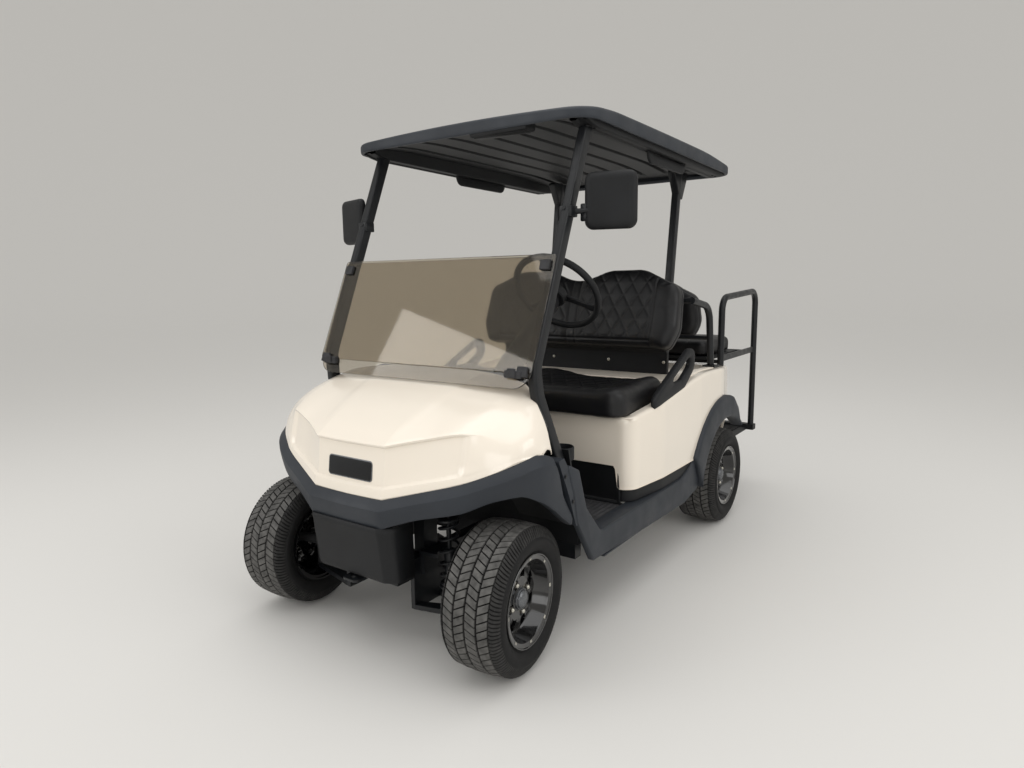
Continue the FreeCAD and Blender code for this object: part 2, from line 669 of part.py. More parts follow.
# Rear body
def body_solid(inset):
    """Space inside the rear body's skin: plan outline crossed with side outline, less the seat well."""
    w = BODY_HALF_WIDTH - inset
    front = BODY_FRONT_Y + inset
    rear = BODY_REAR_Y - inset
    hip_y = WHEELBASE - 334
    plan = [(-w + 35, front, 60 - inset), (w - 35, front, 60 - inset), (w - 6, front + 240, 80), (w, hip_y, 80),
            (w - 4, hip_y + 320, 80), (w - 62, rear, 70 - inset), (-w + 62, rear, 70 - inset),
            (-w + 4, hip_y + 320, 80), (-w, hip_y, 80), (-w + 6, front + 240, 80)]
    bottom = BODY_BOTTOM_Z - (10 if inset else 0)
    side = [(front - 5, bottom), (front - 5, SEAT_DECK_Z - inset), (hip_y + 60, REAR_DECK_Z + 6 - inset, 300),
            (rear + 5, REAR_DECK_Z - 22 - inset), (rear + 5, bottom)]
    well = box(-WELL_HALF_WIDTH - inset, WELL_HALF_WIDTH + inset, front - 20, WELL_REAR_Y + inset,
               SEAT_DECK_Z - inset, 900)
    return prism(plan, "z", bottom - 5, 900).common(prism(side, "x", -650, 650)).cut(well)


def wheel_arch(radius, x0, x1):
    return Part.makeCylinder(radius, x1 - x0, Vector(x0, WHEELBASE, ARCH_CENTRE_Z), Vector(1, 0, 0))


def rear_body():
    shell = body_solid(0).cut(body_solid(WALL))
    for side in (-1, 1):
        x0 = 380 if side > 0 else -700
        shell = shell.cut(wheel_arch(ARCH_RADIUS, x0, x0 + 320))
        shell = shell.cut(flare_space(side, 0.5))
    doorway = box(-487, 487, 600, BODY_FRONT_Y + 60, BODY_BOTTOM_Z - 20, KICK_TOP_Z)
    front = BODY_FRONT_Y + 50
    rear = BODY_FRONT_Y + 418
    hatch = prism([(-440, front), (440, front), (440, rear), (-440, rear)], "z", 600, SEAT_DECK_Z + 20, 20)
    tail = box(-430, 430, BODY_REAR_Y - 80, BODY_REAR_Y + 20, BODY_BOTTOM_Z - 20, 620)
    return shell.cut(doorway).cut(hatch).cut(tail)


def kick_panel():
    """Black panel under the front seat, from the floor to the cream body."""
    front = prism([(-500, FLOOR_TOP), (500, FLOOR_TOP), (500, KICK_TOP_Z + 12, 20), (-500, KICK_TOP_Z + 12, 20)],
                  "y", BODY_FRONT_Y + WALL, BODY_FRONT_Y + 2 * WALL)
    lower = []
    for side in (-1, 1):
        x0 = min(side * 574, side * 578)
        skirt = prism([(BODY_FRONT_Y + 40, SILL_TOP_Z), (WHEELBASE - 554, SILL_TOP_Z), (WHEELBASE - 494, BODY_BOTTOM_Z),
                       (BODY_FRONT_Y + 40, BODY_BOTTOM_Z)], "x", x0, x0 + 4)
        lower.append(skirt)
    return Part.makeCompound([front] + lower)


def flare_ring(outer, inner, x0, x1):
    ring = Part.makeCylinder(outer, x1 - x0, Vector(x0, WHEELBASE - 24, ARCH_CENTRE_Z + 5), Vector(1, 0, 0))
    return ring.cut(wheel_arch(inner, x0 - 5, x1 + 5))


def flare_space(side, grow):
    """Block that one flare fills, with its pointed top and cut-off rear edge."""
    x0 = BODY_HALF_WIDTH - FLARE_DEPTH
    y = WHEELBASE
    keep = prism([(y - 414 - grow, 386), (y - 396, 386), (y - 346, 292), (y - 332, 250), (y + 216, 255),
                  (y + 216 + grow, 440), (y + 176 + grow, 540), (y + 96, 612 + grow), (y + 51, 640), (y - 104, 700),
                  (y - 464, 700)], "x", x0, BODY_HALF_WIDTH + FLARE_PROUD)
    space = flare_ring(FLARE_RADIUS + grow, ARCH_RADIUS, x0, BODY_HALF_WIDTH + FLARE_PROUD).common(keep)
    return space if side > 0 else mirrored(space)


def rear_flares():
    """Dark wheel arch lips with a flange turned in round the wheel opening."""
    x0 = BODY_HALF_WIDTH - FLARE_DEPTH
    hollow = flare_ring(FLARE_RADIUS - WALL, ARCH_RADIUS + WALL, x0 - 5, BODY_HALF_WIDTH + FLARE_PROUD - WALL)
    return flare_space(1, 0).cut(hollow)


# Seats
def seat_cushion():
    z0 = SEAT_DECK_Z + RUN_GAP
    w = CUSHION_HALF_WIDTH
    pad = prism([(-w, CUSHION_FRONT_Y, 60), (w, CUSHION_FRONT_Y, 60), (w, CUSHION_REAR_Y, 50), (-w, CUSHION_REAR_Y, 50)],
                "z", z0, z0 + CUSHION_THICK)
    return pad.makeFillet(26, [e for e in pad.Edges if e.CenterOfMass.z > z0 + CUSHION_THICK - 1])


def backrest(half_width, bottom, top, dip, thick, lean, front_y):
    """Double humped back pad, leaning; lean is positive when the top goes to the rear."""
    crest = half_width * 0.52
    w = half_width
    points = [(-w + 40, bottom, 50), (w - 40, bottom, 50), (w, bottom + 0.25 * (top - bottom), 120),
              (w - 12, top - 90, 80), (crest + 60, top, 160), (crest - 120, top, 160), (0, top - dip * 1.15, 200),
              (-crest + 120, top, 160), (-crest - 60, top, 160), (-w + 12, top - 90, 80),
              (-w, bottom + 0.25 * (top - bottom), 120)]
    pad = prism(points, "y", front_y, front_y + thick)
    rim_edges = [e for e in pad.Edges if abs(e.CenterOfMass.y - front_y) < 0.1 or
                 abs(e.CenterOfMass.y - front_y - thick) < 0.1]
    pad = pad.makeFillet(24, rim_edges)
    pad.rotate(Vector(0, front_y, bottom), Vector(1, 0, 0), -lean)
    return pad


def seat_back():
    return backrest(BACK_HALF_WIDTH, BACK_BOTTOM_Z, BACK_TOP_Z + 14, BACK_DIP, BACK_THICK, BACK_RECLINE, BACK_FRONT_Y)


def back_rear_y(z):
    """Where the rear face of the leaning front back is at height z."""
    lean = math.radians(BACK_RECLINE)
    return BACK_FRONT_Y + BACK_THICK / math.cos(lean) + (z - BACK_BOTTOM_Z) * math.tan(lean)


def seat_back_panel():
    """Panel that carries the front back, from the rear deck up behind the pad."""
    foot = BODY_FRONT_Y + 602
    side = [(foot, 745), (foot + 20, 745), (foot + 20, 850), (back_rear_y(1130) + 14, 1130, 6),
            (back_rear_y(1134) + 0.5, 1134), (back_rear_y(872) + 0.5, 872), (foot, 852)]
    return prism(side, "x", -440, 440).cut(body_solid(0))


def hip_restraints():
    """Triangular grab loops at the ends of the front seat."""
    outer = [(152, 722, 10), (160, 680, 8), (460, 722, 40), (578, 800, 50), (576, 884, 36), (516, 886, 40)]
    inner = [(285, 758, 12), (430, 764, 30), (528, 812, 24), (532, 846, 16), (502, 850, 16)]
    loop = prism(outer, "x", 552, 582).cut(prism(inner, "x", 540, 600))
    loop.translate(Vector(0, BODY_FRONT_Y, 0))
    return pair(loop.cut(body_solid(0)))


def seat_frame():
    """Bent tubes that carry both backs, with cross bars."""
    bar_y = back_rear_y(1085) + 31.5
    post_y = WHEELBASE - 19
    rest_y = post_y - 23
    path = [(HOOP_X, bar_y, 1085), (HOOP_X, post_y - 47, 1050), (HOOP_X, post_y, 740)]
    side = tube(path, TUBE_RADIUS, 90)
    bars = [rod((-HOOP_X, bar_y, 1085), (HOOP_X, bar_y, 1085), 12), rod((-HOOP_X, rest_y, 900), (HOOP_X, rest_y, 900), 10)]
    foot = box(HOOP_X - 30, HOOP_X + 30, post_y - 35, post_y + 35, REAR_DECK_Z - 20, REAR_DECK_Z + 4)
    return fuse([side, mirrored(side), foot, mirrored(foot)] + bars).cut(body_solid(0))


def rear_back():
    return backrest(470.0, 880.0, 1180.0, 40.0, 90.0, -6.0, WHEELBASE - 29.4)


def rear_cushion():
    w = REAR_CUSHION_HALF_WIDTH
    z0 = REAR_BOARD_Z + REAR_BOARD_THICK + RUN_GAP
    pad = prism([(-w, REAR_CUSHION_FRONT_Y, 40), (w, REAR_CUSHION_FRONT_Y, 40), (w, REAR_CUSHION_REAR_Y, 60),
                 (-w, REAR_CUSHION_REAR_Y, 60)], "z", z0, z0 + 84)
    return pad.makeFillet(24, [e for e in pad.Edges if e.CenterOfMass.z > z0 + 83])


def rear_board():
    w = REAR_CUSHION_HALF_WIDTH + 8
    board = prism([(-w, REAR_CUSHION_FRONT_Y - 4, 20), (w, REAR_CUSHION_FRONT_Y - 4, 20), (w, FLIP_AXIS_Y - 14, 6),
                   (-w, FLIP_AXIS_Y - 14, 6)], "z", REAR_BOARD_Z, REAR_BOARD_Z + REAR_BOARD_THICK)
    z = REAR_BOARD_Z + REAR_BOARD_THICK / 2
    knuckles = [rod((x - 30, FLIP_AXIS_Y, z), (x + 30, FLIP_AXIS_Y, z), HINGE_RADIUS + 6) for x in (-300, 300)]
    bore = rod((-400, FLIP_AXIS_Y, z), (400, FLIP_AXIS_Y, z), HINGE_RADIUS + RUN_GAP)
    return fuse([board] + knuckles).cut(bore)


def side_hoops():
    path = [(HOOP_X, HOOP_FRONT_Y, REAR_DECK_Z - 30), (HOOP_X, HOOP_FRONT_Y, 1086), (HOOP_X, HOOP_REAR_Y, 1112),
            (HOOP_X, HOOP_REAR_Y, 352)]
    hoop = tube(path, TUBE_RADIUS, 70)
    arm = box(HOOP_X - 4, HOOP_X + 4, HOOP_FRONT_Y, HOOP_REAR_Y, 770, 800)
    z = REAR_BOARD_Z + REAR_BOARD_THICK / 2
    pin = rod((-HOOP_X, FLIP_AXIS_Y, z), (HOOP_X, FLIP_AXIS_Y, z), HINGE_RADIUS)
    rest_z = REAR_BOARD_Z - HINGE_RADIUS - RUN_GAP
    rest_y = HOOP_FRONT_Y + 16
    rest = rod((-HOOP_X, rest_y, rest_z), (HOOP_X, rest_y, rest_z), HINGE_RADIUS)
    return fuse([hoop, arm, mirrored(hoop), mirrored(arm), pin, rest]).cut(body_solid(0))


def foot_plate():
    """Ridged rear foot board on two brackets from the rails."""
    front = FOOT_PLATE_FRONT_Y
    plate = prism([(-500, front, 20), (500, front, 20), (500, TAIL_REACH, 40), (-500, TAIL_REACH, 40)], "z", 320, 336)
    rib_count = int((FOOT_PLATE_DEPTH - 66) / 32) + 1
    ribs = [box(-470, 470, front + 30 + 32 * i, front + 42 + 32 * i, 336, 341) for i in range(rib_count)]
    brackets = [box(side * RAIL_X - 22, side * RAIL_X + 22, RAIL_END_Y, TAIL_REACH - 20, 302, 320) for side in (-1, 1)]
    beam = box(-540, 540, HOOP_REAR_Y - 20, HOOP_REAR_Y + 30, 322, 352)
    return fuse([plate, beam] + ribs + brackets)


# Roof
def roof_solid(inset, drop):
    """Crowned block with rounded plan corners and raked lower rim."""
    w = ROOF_HALF_WIDTH - inset
    y0 = ROOF_FRONT_Y + inset
    y1 = ROOF_REAR_Y - inset
    corner = ROOF_CORNER - inset
    plan = prism([(-w, y0, corner), (w, y0, corner), (w, y1, corner), (-w, y1, corner)], "z", 1600, 1800)
    sections = []
    for y, shoulder, crown in ((ROOF_FRONT_Y - 20, 1722, 1738), (ROOF_FRONT_Y + 244, 1738, ROOF_CROWN_Z),
                               (ROOF_REAR_Y - 426, 1732, 1748),
                               (ROOF_REAR_Y + 20, 1704, 1720)):
        half = ROOF_HALF_WIDTH + 30
        arc = Part.Arc(Vector(-half, y, shoulder - drop), Vector(0, y, crown - drop), Vector(half, y, shoulder - drop))
        low = 1590 - drop
        sections.append(Part.Wire([
            Part.LineSegment(Vector(-half, y, low), Vector(-half, y, shoulder - drop)).toShape(), arc.toShape(),
            Part.LineSegment(Vector(half, y, shoulder - drop), Vector(half, y, low)).toShape(),
            Part.LineSegment(Vector(half, y, low), Vector(-half, y, low)).toShape()]))
    crown = Part.makeLoft(sections, True, True)
    solid = plan.common(crown)
    rim = [(ROOF_FRONT_Y - 50, ROOF_RIM_FRONT_Z), (ROOF_REAR_Y + 50, ROOF_RIM_REAR_Z), (ROOF_REAR_Y + 50, 1850),
           (ROOF_FRONT_Y - 50, 1850)]
    return solid if inset else solid.common(prism(rim, "x", -700, 700))


def roof_canopy():
    return roof_solid(0, 0).cut(roof_solid(WALL, WALL))


def roof_channels():
    """Side channels under the canopy with hand holds, tied by cross ribs."""
    shapes = []
    for side in (-1, 1):
        x0 = min(side * 430, side * 520)
        shapes.append(prism([(ROOF_FRONT_Y + 40, 1676), (ROOF_REAR_Y - 40, 1656), (ROOF_REAR_Y - 40, 1800),
                             (ROOF_FRONT_Y + 40, 1800)], "x", x0, x0 + 90))
    pitch = (ROOF_REAR_Y - ROOF_FRONT_Y - 450) / 5
    for i in range(6):
        y = ROOF_FRONT_Y + 184 + i * pitch
        shapes.append(box(-440, 440, y, y + 40, 1700, 1800))
    tray = fuse(shapes).common(roof_solid(WALL, WALL))
    return tray.cut(front_pillars()).cut(rear_struts())


def pillar_path():
    rake = math.tan(math.radians(SCREEN_RAKE))
    top_z = 1700.0
    bend_z = 890.0
    bend_y = 158.0
    return [(507, 300, 430), (505, 262, 540), (455, 170, 820), (448, bend_y, bend_z + 20),
            (462, bend_y + (top_z - bend_z - 20) * rake, top_z - 10)]


def front_pillars():
    return pair(ribbon(pillar_path(), PILLAR_WIDTH, PILLAR_DEPTH))


def rear_struts():
    y = WHEELBASE
    path = [(322, y - 136, REAR_DECK_Z - 16), (326, y - 64, 1300), (330, y - 12, 1690)]
    strut = ribbon(path, 38, 34)
    gusset = prism([(y - 104, 1690), (y + 76, 1690), (y + 4, 1560), (y - 28, 1560)], "x", 318, 342)
    return pair(fuse([strut, gusset]).cut(body_solid(0)))


def screen_y(z):
    return 142 + (z - 880) * math.tan(math.radians(SCREEN_RAKE))


def pane(low_z, high_z, half, offset, corner):
    """Flat pane cut upright, then leaned back about its lower edge."""
    lean = math.radians(SCREEN_RAKE)
    length = (high_z - low_z) / math.cos(lean)
    sheet = prism([(-half, low_z, corner), (half, low_z, corner), (half, low_z + length, 12),
                   (-half, low_z + length, 12)], "y", 0, SCREEN_THICK)
    sheet.rotate(Vector(0, 0, low_z), Vector(1, 0, 0), -SCREEN_RAKE)
    sheet.translate(Vector(0, screen_y(low_z) + offset, 0))
    return sheet


def windscreen_lower():
    return pane(850, SCREEN_TOP_Z, SCREEN_HALF_WIDTH - 2, -SCREEN_STANDOFF, 60)


def windscreen_upper():
    return pane(899, SCREEN_TOP_Z + 8, SCREEN_HALF_WIDTH,
                -SCREEN_STANDOFF - SCREEN_THICK / math.cos(math.radians(SCREEN_RAKE)) - RUN_GAP, 12)


def screen_clips():
    """Rubber blocks between the panes and the pillars, at the lower edge and at the fold."""
    rake = math.radians(SCREEN_RAKE)
    clips = []
    for z in (905, SCREEN_TOP_Z - 24):
        y = screen_y(z) - SCREEN_STANDOFF + SCREEN_THICK / math.cos(rake)
        block = box(432, 468, 0, 26, -16, 16)
        block.rotate(Vector(0, 0, 0), Vector(1, 0, 0), -SCREEN_RAKE)
        block.translate(Vector(0, y, z))
        clips.append(block.cut(ribbon(pillar_path(), PILLAR_WIDTH, PILLAR_DEPTH)))
    return pair(Part.makeCompound([max(c.Solids, key=lambda solid: solid.Volume) for c in clips]))


def mirrors():
    shell = prism([(512, 1340, 28), (682, 1340, 28), (682, 1522, 28), (512, 1522, 28)], "y", 392, 424)
    arm = rod((455, 378, 1400), (540, 408, 1400), 9)
    return pair(fuse([shell, arm]).cut(ribbon(pillar_path(), PILLAR_WIDTH, PILLAR_DEPTH)))


NODES = {}


def build():
    hub_x = {"front": HALF_TRACK_FRONT, "rear": HALF_TRACK_REAR}
    for end, half_track in hub_x.items():
        for name, side in (("left", 1), ("right", -1)):
            y = 0.0 if end == "front" else WHEELBASE
            centre = (side * half_track, y, AXLE_Z)
            parts = {"tyre": tyre(centre), "rim": rim(centre, side)}
            for kind, shape in parts.items():
                NODES[kind + "_" + end + "_" + name] = steered(shape, side) if end == "front" else shape
    for name, side in (("left", 1), ("right", -1)):
        NODES["knuckle_" + name] = steered(knuckle(side), side)
        NODES["rocker_" + name] = rockers() if side > 0 else mirrored(rockers())
    NODES["tie_rods"] = tie_rods()
    NODES["steering_rack"] = steering_rack()
    NODES["frame_rails"] = frame_rails()
    NODES["suspension_arms"] = suspension_arms()
    NODES["front_shocks"] = front_shocks()
    NODES["shock_towers"] = shock_towers()
    NODES["rear_axle"] = rear_axle()
    NODES["motor"] = motor()
    NODES["rear_springs"] = rear_springs()
    NODES["battery_pack"] = battery_pack()
    NODES["floor_pan"] = floor_pan()
    NODES["floor_mat"] = floor_mat()
    NODES["wheel_liners"] = wheel_liners()
    NODES["front_hood"] = front_hood()
    NODES["front_fascia"] = front_fascia()
    NODES["pillar_feet"] = pair(pillar_feet())
    NODES["dash_panel"] = dash_panel()
    NODES["cup_rings"] = pair(cup_rings())
    NODES["pedals"] = pedals()
    NODES["steering_column"] = steering_column()
    NODES["steering_wheel"] = steering_wheel()
    NODES["rear_body"] = rear_body()
    NODES["kick_panel"] = kick_panel()
    NODES["rear_flares"] = pair(rear_flares())
    NODES["seat_cushion"] = seat_cushion()
    NODES["seat_back"] = seat_back()
    NODES["seat_back_panel"] = seat_back_panel()
    NODES["hip_restraints"] = hip_restraints()
    NODES["seat_frame"] = seat_frame()
    NODES["rear_back"] = rear_back()
    NODES["rear_cushion"] = rear_cushion()
    NODES["rear_board"] = rear_board()
    NODES["side_hoops"] = side_hoops()
    NODES["foot_plate"] = foot_plate()
    NODES["roof_canopy"] = roof_canopy()
    NODES["roof_channels"] = roof_channels()
    NODES["front_pillars"] = front_pillars()
    NODES["rear_struts"] = rear_struts()
    NODES["windscreen_lower"] = windscreen_lower()
    NODES["windscreen_upper"] = windscreen_upper()
    NODES["screen_clips"] = screen_clips()
    NODES["mirrors"] = mirrors()


def overall_middle():
    """Half way between the foremost point of the steered tyres and the tail of the foot plate."""
    front = min(NODES["tyre_front_" + side].optimalBoundingBox(False, False).YMin for side in ("left", "right"))
    front = min(front, NODES["front_fascia"].BoundBox.YMin)
    return (front + TAIL_REACH) / 2


def export():
    os.makedirs("parts", exist_ok=True)
    shift = -overall_middle()
    print("shift", shift)
    for name, shape in NODES.items():
        shape.translate(Vector(0, shift, 0))
        shape.exportStep("parts/" + name + ".step")
        b = shape.BoundBox
        print(f"{name:18s} {len(shape.Solids)} solids valid {shape.isValid()} "
              f"x {b.XMin:.0f} {b.XMax:.0f} y {b.YMin:.0f} {b.YMax:.0f} z {b.ZMin:.0f} {b.ZMax:.0f}")


build()
export()
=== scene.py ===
import math

import bmesh
import bpy
import numpy as np
from bpy.props import FloatProperty, FloatVectorProperty, IntProperty, PointerProperty
from mathutils import Matrix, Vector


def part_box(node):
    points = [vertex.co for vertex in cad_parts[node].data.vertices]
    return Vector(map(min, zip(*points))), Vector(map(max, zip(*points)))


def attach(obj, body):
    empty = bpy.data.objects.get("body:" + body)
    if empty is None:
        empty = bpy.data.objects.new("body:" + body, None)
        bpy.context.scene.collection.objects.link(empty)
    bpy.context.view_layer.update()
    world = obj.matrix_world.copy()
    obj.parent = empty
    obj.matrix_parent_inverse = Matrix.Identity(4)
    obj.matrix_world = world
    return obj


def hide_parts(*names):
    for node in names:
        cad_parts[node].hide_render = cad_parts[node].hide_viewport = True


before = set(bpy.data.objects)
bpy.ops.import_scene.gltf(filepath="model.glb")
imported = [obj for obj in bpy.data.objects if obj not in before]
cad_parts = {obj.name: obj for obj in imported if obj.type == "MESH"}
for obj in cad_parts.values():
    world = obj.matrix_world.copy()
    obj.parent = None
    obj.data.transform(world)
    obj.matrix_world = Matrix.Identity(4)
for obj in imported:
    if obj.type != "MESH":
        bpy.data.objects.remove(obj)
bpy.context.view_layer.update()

bl_info = {
    "name": "Golf cart dressing",
    "version": (1, 0, 0),
    "blender": (4, 5, 0),
    "location": "View3D > Sidebar > Cart",
    "description": "Builds the visible surfaces of a four-seat golf cart round its packed frame",
    "category": "Object",
}

MM = 0.001
WHEELBASE = 1664.0
TYRE_RADIUS = 229.5


def middle(node, axis):
    """Half way along one axis between a node's lowest and highest corner."""
    low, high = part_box(node)
    return (low[axis] + high[axis]) / 2


FRONT_AXLE_Y = middle("tyre_rear_left", 1) - WHEELBASE * MM


def linear(code, alpha=1.0):
    """Turns an sRGB hex value such as 8A6F4D into linear red, green, blue and alpha."""
    parts = [int(code[i:i + 2], 16) / 255 for i in (0, 2, 4)]
    bent = [c / 12.92 if c <= 0.04045 else ((c + 0.055) / 1.055) ** 2.4 for c in parts]
    return (*bent, alpha)


# Numbers and colours a user would change
def length_property(label, words, millimetres):
    return FloatProperty(name=label, description=words, default=millimetres * MM, min=0.0, unit="LENGTH")


def colour_property(label, words, code):
    return FloatVectorProperty(name=label, description=words, default=linear(code)[:3], size=3, min=0.0, max=1.0,
                               subtype="COLOR")


class CartSizes(bpy.types.PropertyGroup):
    """Sizes of the details that the frame doesn't carry."""
    shell_wall: length_property("Shell wall", "Thickness of the moulded body shells", 4.0)
    tread_depth: length_property("Tread depth", "Depth of the grooves between the tyre blocks", 7.0)
    tread_pitches: IntProperty(name="Tread pitches", description="Blocks round one tread row", default=58, min=20)
    diamond_width: length_property("Diamond width", "Width of one quilted diamond", 72.0)
    diamond_height: length_property("Diamond height", "Height of one quilted diamond", 112.0)
    quilt_depth: length_property("Quilt depth", "How far the quilt seams sink into the pad", 2.2)
    recess_depth: length_property("Nose recess", "How far the badge panel lies behind the hood's edge", 10.0)
    grip_radius: length_property("Wheel grip", "Radius of the steering wheel's rim", 13.0)


class CartColours(bpy.types.PropertyGroup):
    """Colours of the finishes."""
    shell: colour_property("Body shell", "Cream gloss moulding", "F2E8D9")
    slate: colour_property("Slate trim", "Blue grey textured moulding", "2B2F35")
    black: colour_property("Black moulding", "Textured black plastic", "18191B")
    powder: colour_property("Powder coat", "Black coated steel tube", "15171A")
    vinyl: colour_property("Seat vinyl", "Black grained upholstery", "131315")
    tyre: colour_property("Tyre", "Black carbon-filled rubber", "111112")
    smoke: colour_property("Windscreen", "Bronze tint of one acrylic pane", "D2CABC")
    floor: colour_property("Floor", "Studio floor", "DAD8D4")


def sizes():
    return bpy.context.scene.cart_sizes


def colours():
    return bpy.context.scene.cart_colours


def unit(vectors):
    """Vectors scaled to length 1, along the last axis."""
    vectors = np.asarray(vectors, float)
    return vectors / np.linalg.norm(vectors, axis=-1, keepdims=True)


# Surfaces on numpy grids, in cart millimetres: x to the driver's side, y back from the front axle, z up
def to_frame(points):
    """Cart millimetres to metres in the shared frame."""
    out = np.array(points, float).reshape(-1, 3) * MM
    out[:, 1] += FRONT_AXLE_Y
    return out


def grid_faces(rows, cols, close_rows=False, close_cols=False):
    """Quads of a rows by cols grid of points, wrapped round where a direction is closed."""
    r = np.arange(rows if close_rows else rows - 1)[:, None]
    c = np.arange(cols if close_cols else cols - 1)[None, :]
    r2, c2 = (r + 1) % rows, (c + 1) % cols
    quads = np.stack([r * cols + c, r * cols + c2, r2 * cols + c2, r2 * cols + c], -1)
    return quads.reshape(-1, 4)


def patch(grid, close_rows=False, close_cols=False, caps=(), flip=False):
    """A grid of points as (points, faces); caps names the end rows, 0 or -1, that get one closing face."""
    grid = np.asarray(grid, float)
    rows, cols = grid.shape[:2]
    faces = grid_faces(rows, cols, close_rows, close_cols).tolist()
    for end in caps:
        ring = list(range(cols)) if end == 0 else [(rows - 1) * cols + i for i in range(cols)][::-1]
        faces.append(ring[::-1])
    if flip:
        faces = [f[::-1] for f in faces]
    return grid.reshape(-1, 3), faces


def mirror_patch(part):
    """The same patch across the cart's middle plane, with its faces turned back outwards."""
    points, faces = part
    return points * np.array([-1.0, 1.0, 1.0]), [f[::-1] for f in faces]


def both_sides(parts):
    return parts + [mirror_patch(p) for p in parts]


def join_patches(parts):
    points, faces, start = [], [], 0
    for p, f in parts:
        points.append(p)
        faces.extend([[i + start for i in face] for face in f])
        start += len(p)
    return np.concatenate(points), faces


def put_in_scene(name, data):
    thing = bpy.data.objects.new(name, data)
    bpy.context.scene.collection.objects.link(thing)
    return thing


def make_mesh(name, parts, sharp=35.0, merge=0.0, outward=False, values=None):
    """One object from patches; merge joins points nearer than that many millimetres, outward turns faces out."""
    points, faces = join_patches(parts)
    mesh = bpy.data.meshes.new(name)
    mesh.from_pydata(to_frame(points).tolist(), [], faces)
    for key, numbers in (values or {}).items():
        layer = mesh.attributes.new(key, "FLOAT", "POINT")
        layer.data.foreach_set("value", np.asarray(numbers, np.float32))
    if merge or outward:
        work = bmesh.new()
        work.from_mesh(mesh)
        if merge:
            bmesh.ops.remove_doubles(work, verts=work.verts, dist=merge * MM)
        if outward:
            bmesh.ops.recalc_face_normals(work, faces=work.faces)
        work.to_mesh(mesh)
        work.free()
    mesh.shade_smooth()
    mesh.set_sharp_from_angle(angle=math.radians(sharp))
    mesh.validate()
    return put_in_scene(name, mesh)


def dress(piece, material, body, replaces):
    """Gives a piece its finish, the body it moves with and the CAD nodes it stands for."""
    piece.data.materials.clear()
    piece.data.materials.append(material)
    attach(piece, body)
    if replaces:
        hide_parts(*replaces)
    return piece


def apply_modifiers(piece):
    graph = bpy.context.evaluated_depsgraph_get()
    done = bpy.data.meshes.new_from_object(piece.evaluated_get(graph))
    piece.modifiers.clear()
    old = piece.data
    piece.data = done
    bpy.data.meshes.remove(old)
    return piece


def thicken(piece, wall, offset=-1.0):
    """Gives an open shell its wall, inwards of the drawn surface."""
    mod = piece.modifiers.new("wall", "SOLIDIFY")
    mod.thickness = wall
    mod.offset = offset
    mod.use_even_offset = False
    return apply_modifiers(piece)


def run_of(line):
    """Distance run along a row of points, 0 at the first."""
    return np.concatenate([[0], np.cumsum(np.linalg.norm(np.diff(line, axis=0), axis=1))])


def even_points(line, count, closed=False):
    """That many evenly spaced points along a line, which runs back to its first point if it is closed."""
    if closed:
        line = np.vstack([line, line[:1]])
    run = run_of(line)
    at = np.linspace(0, run[-1], count + closed)[:count]
    return np.stack([np.interp(at, run, column) for column in line.T], 1)


def curve_through(stations, values, at):
    """Smooth cubic curve through table values: each span's slopes are limited so that it never overshoots."""
    x, y, at = (np.asarray(numbers, float) for numbers in (stations, values, at))
    step = np.diff(x)
    rise = np.diff(y, axis=0) / (step if y.ndim == 1 else step[:, None])
    slope = np.zeros_like(y)
    slope[0], slope[-1] = rise[0], rise[-1]
    same = rise[:-1] * rise[1:] > 0
    mean = 2 * rise[:-1] * rise[1:] / np.where(same, rise[:-1] + rise[1:], 1)
    slope[1:-1] = np.where(same, mean, 0)
    i = np.clip(np.searchsorted(x, at) - 1, 0, len(x) - 2)
    h = step[i]
    t = (at - x[i]) / h
    if y.ndim > 1:
        h, t = h[:, None], t[:, None]
    return ((1 + 2 * t) * (1 - t) ** 2 * y[i] + t * (1 - t) ** 2 * h * slope[i]
            + t * t * (3 - 2 * t) * y[i + 1] + t * t * (t - 1) * h * slope[i + 1])


def ease(low, high, x):
    """0 below low, 1 above high, with a smooth S between."""
    t = np.clip((np.asarray(x, float) - low) / (high - low), 0, 1)
    return t * t * (3 - 2 * t)


STRAIGHT = 0.02  # a corner this near to straight, in radians, gets no arc


def round_outline(corners, radius=0.0, steps=6, closed=True):
    """Corner points (a, b[, radius]) with each corner replaced by an arc tangent to both its sides."""
    pts = [np.array(c[:2], float) for c in corners]
    out = []
    for i, point in enumerate(pts):
        r = corners[i][2] if len(corners[i]) > 2 else radius
        if not closed and i in (0, len(pts) - 1) or r <= 0:
            out.append(point)
            continue
        before, after = unit(pts[i - 1] - point), unit(pts[(i + 1) % len(pts)] - point)
        half = math.acos(np.clip(before @ after, -1, 1)) / 2
        if half > math.pi / 2 - STRAIGHT:
            out.append(point)
            continue
        centre = point + unit(before + after) * (r / math.sin(half))
        start = point + before * (r / math.tan(half)) - centre
        end = point + after * (r / math.tan(half)) - centre
        a0 = math.atan2(start[1], start[0])
        sweep = math.atan2(start[0] * end[1] - start[1] * end[0], start @ end)
        for t in np.linspace(0, 1, steps + 1):
            a = a0 + sweep * t
            out.append(centre + r * np.array([math.cos(a), math.sin(a)]))
    return np.array(out)


def inset(outline, distance):
    """Closed outline moved inwards by a distance along the mean normal of its two sides."""
    area = np.sum(outline[:, 0] * np.roll(outline[:, 1], -1) - np.roll(outline[:, 0], -1) * outline[:, 1])
    turn = 1.0 if area > 0 else -1.0
    ahead = np.roll(outline, -1, 0) - outline
    ahead = ahead / np.maximum(np.linalg.norm(ahead, axis=1), 1e-9)[:, None]
    back = np.roll(ahead, 1, 0)
    normal = np.stack([-(ahead + back)[:, 1], (ahead + back)[:, 0]], 1) * turn
    length = np.maximum(np.linalg.norm(normal, axis=1), 1e-6)
    normal /= length[:, None]
    share = np.maximum(length / 2, 0.5)
    return outline + normal * (distance / share)[:, None]


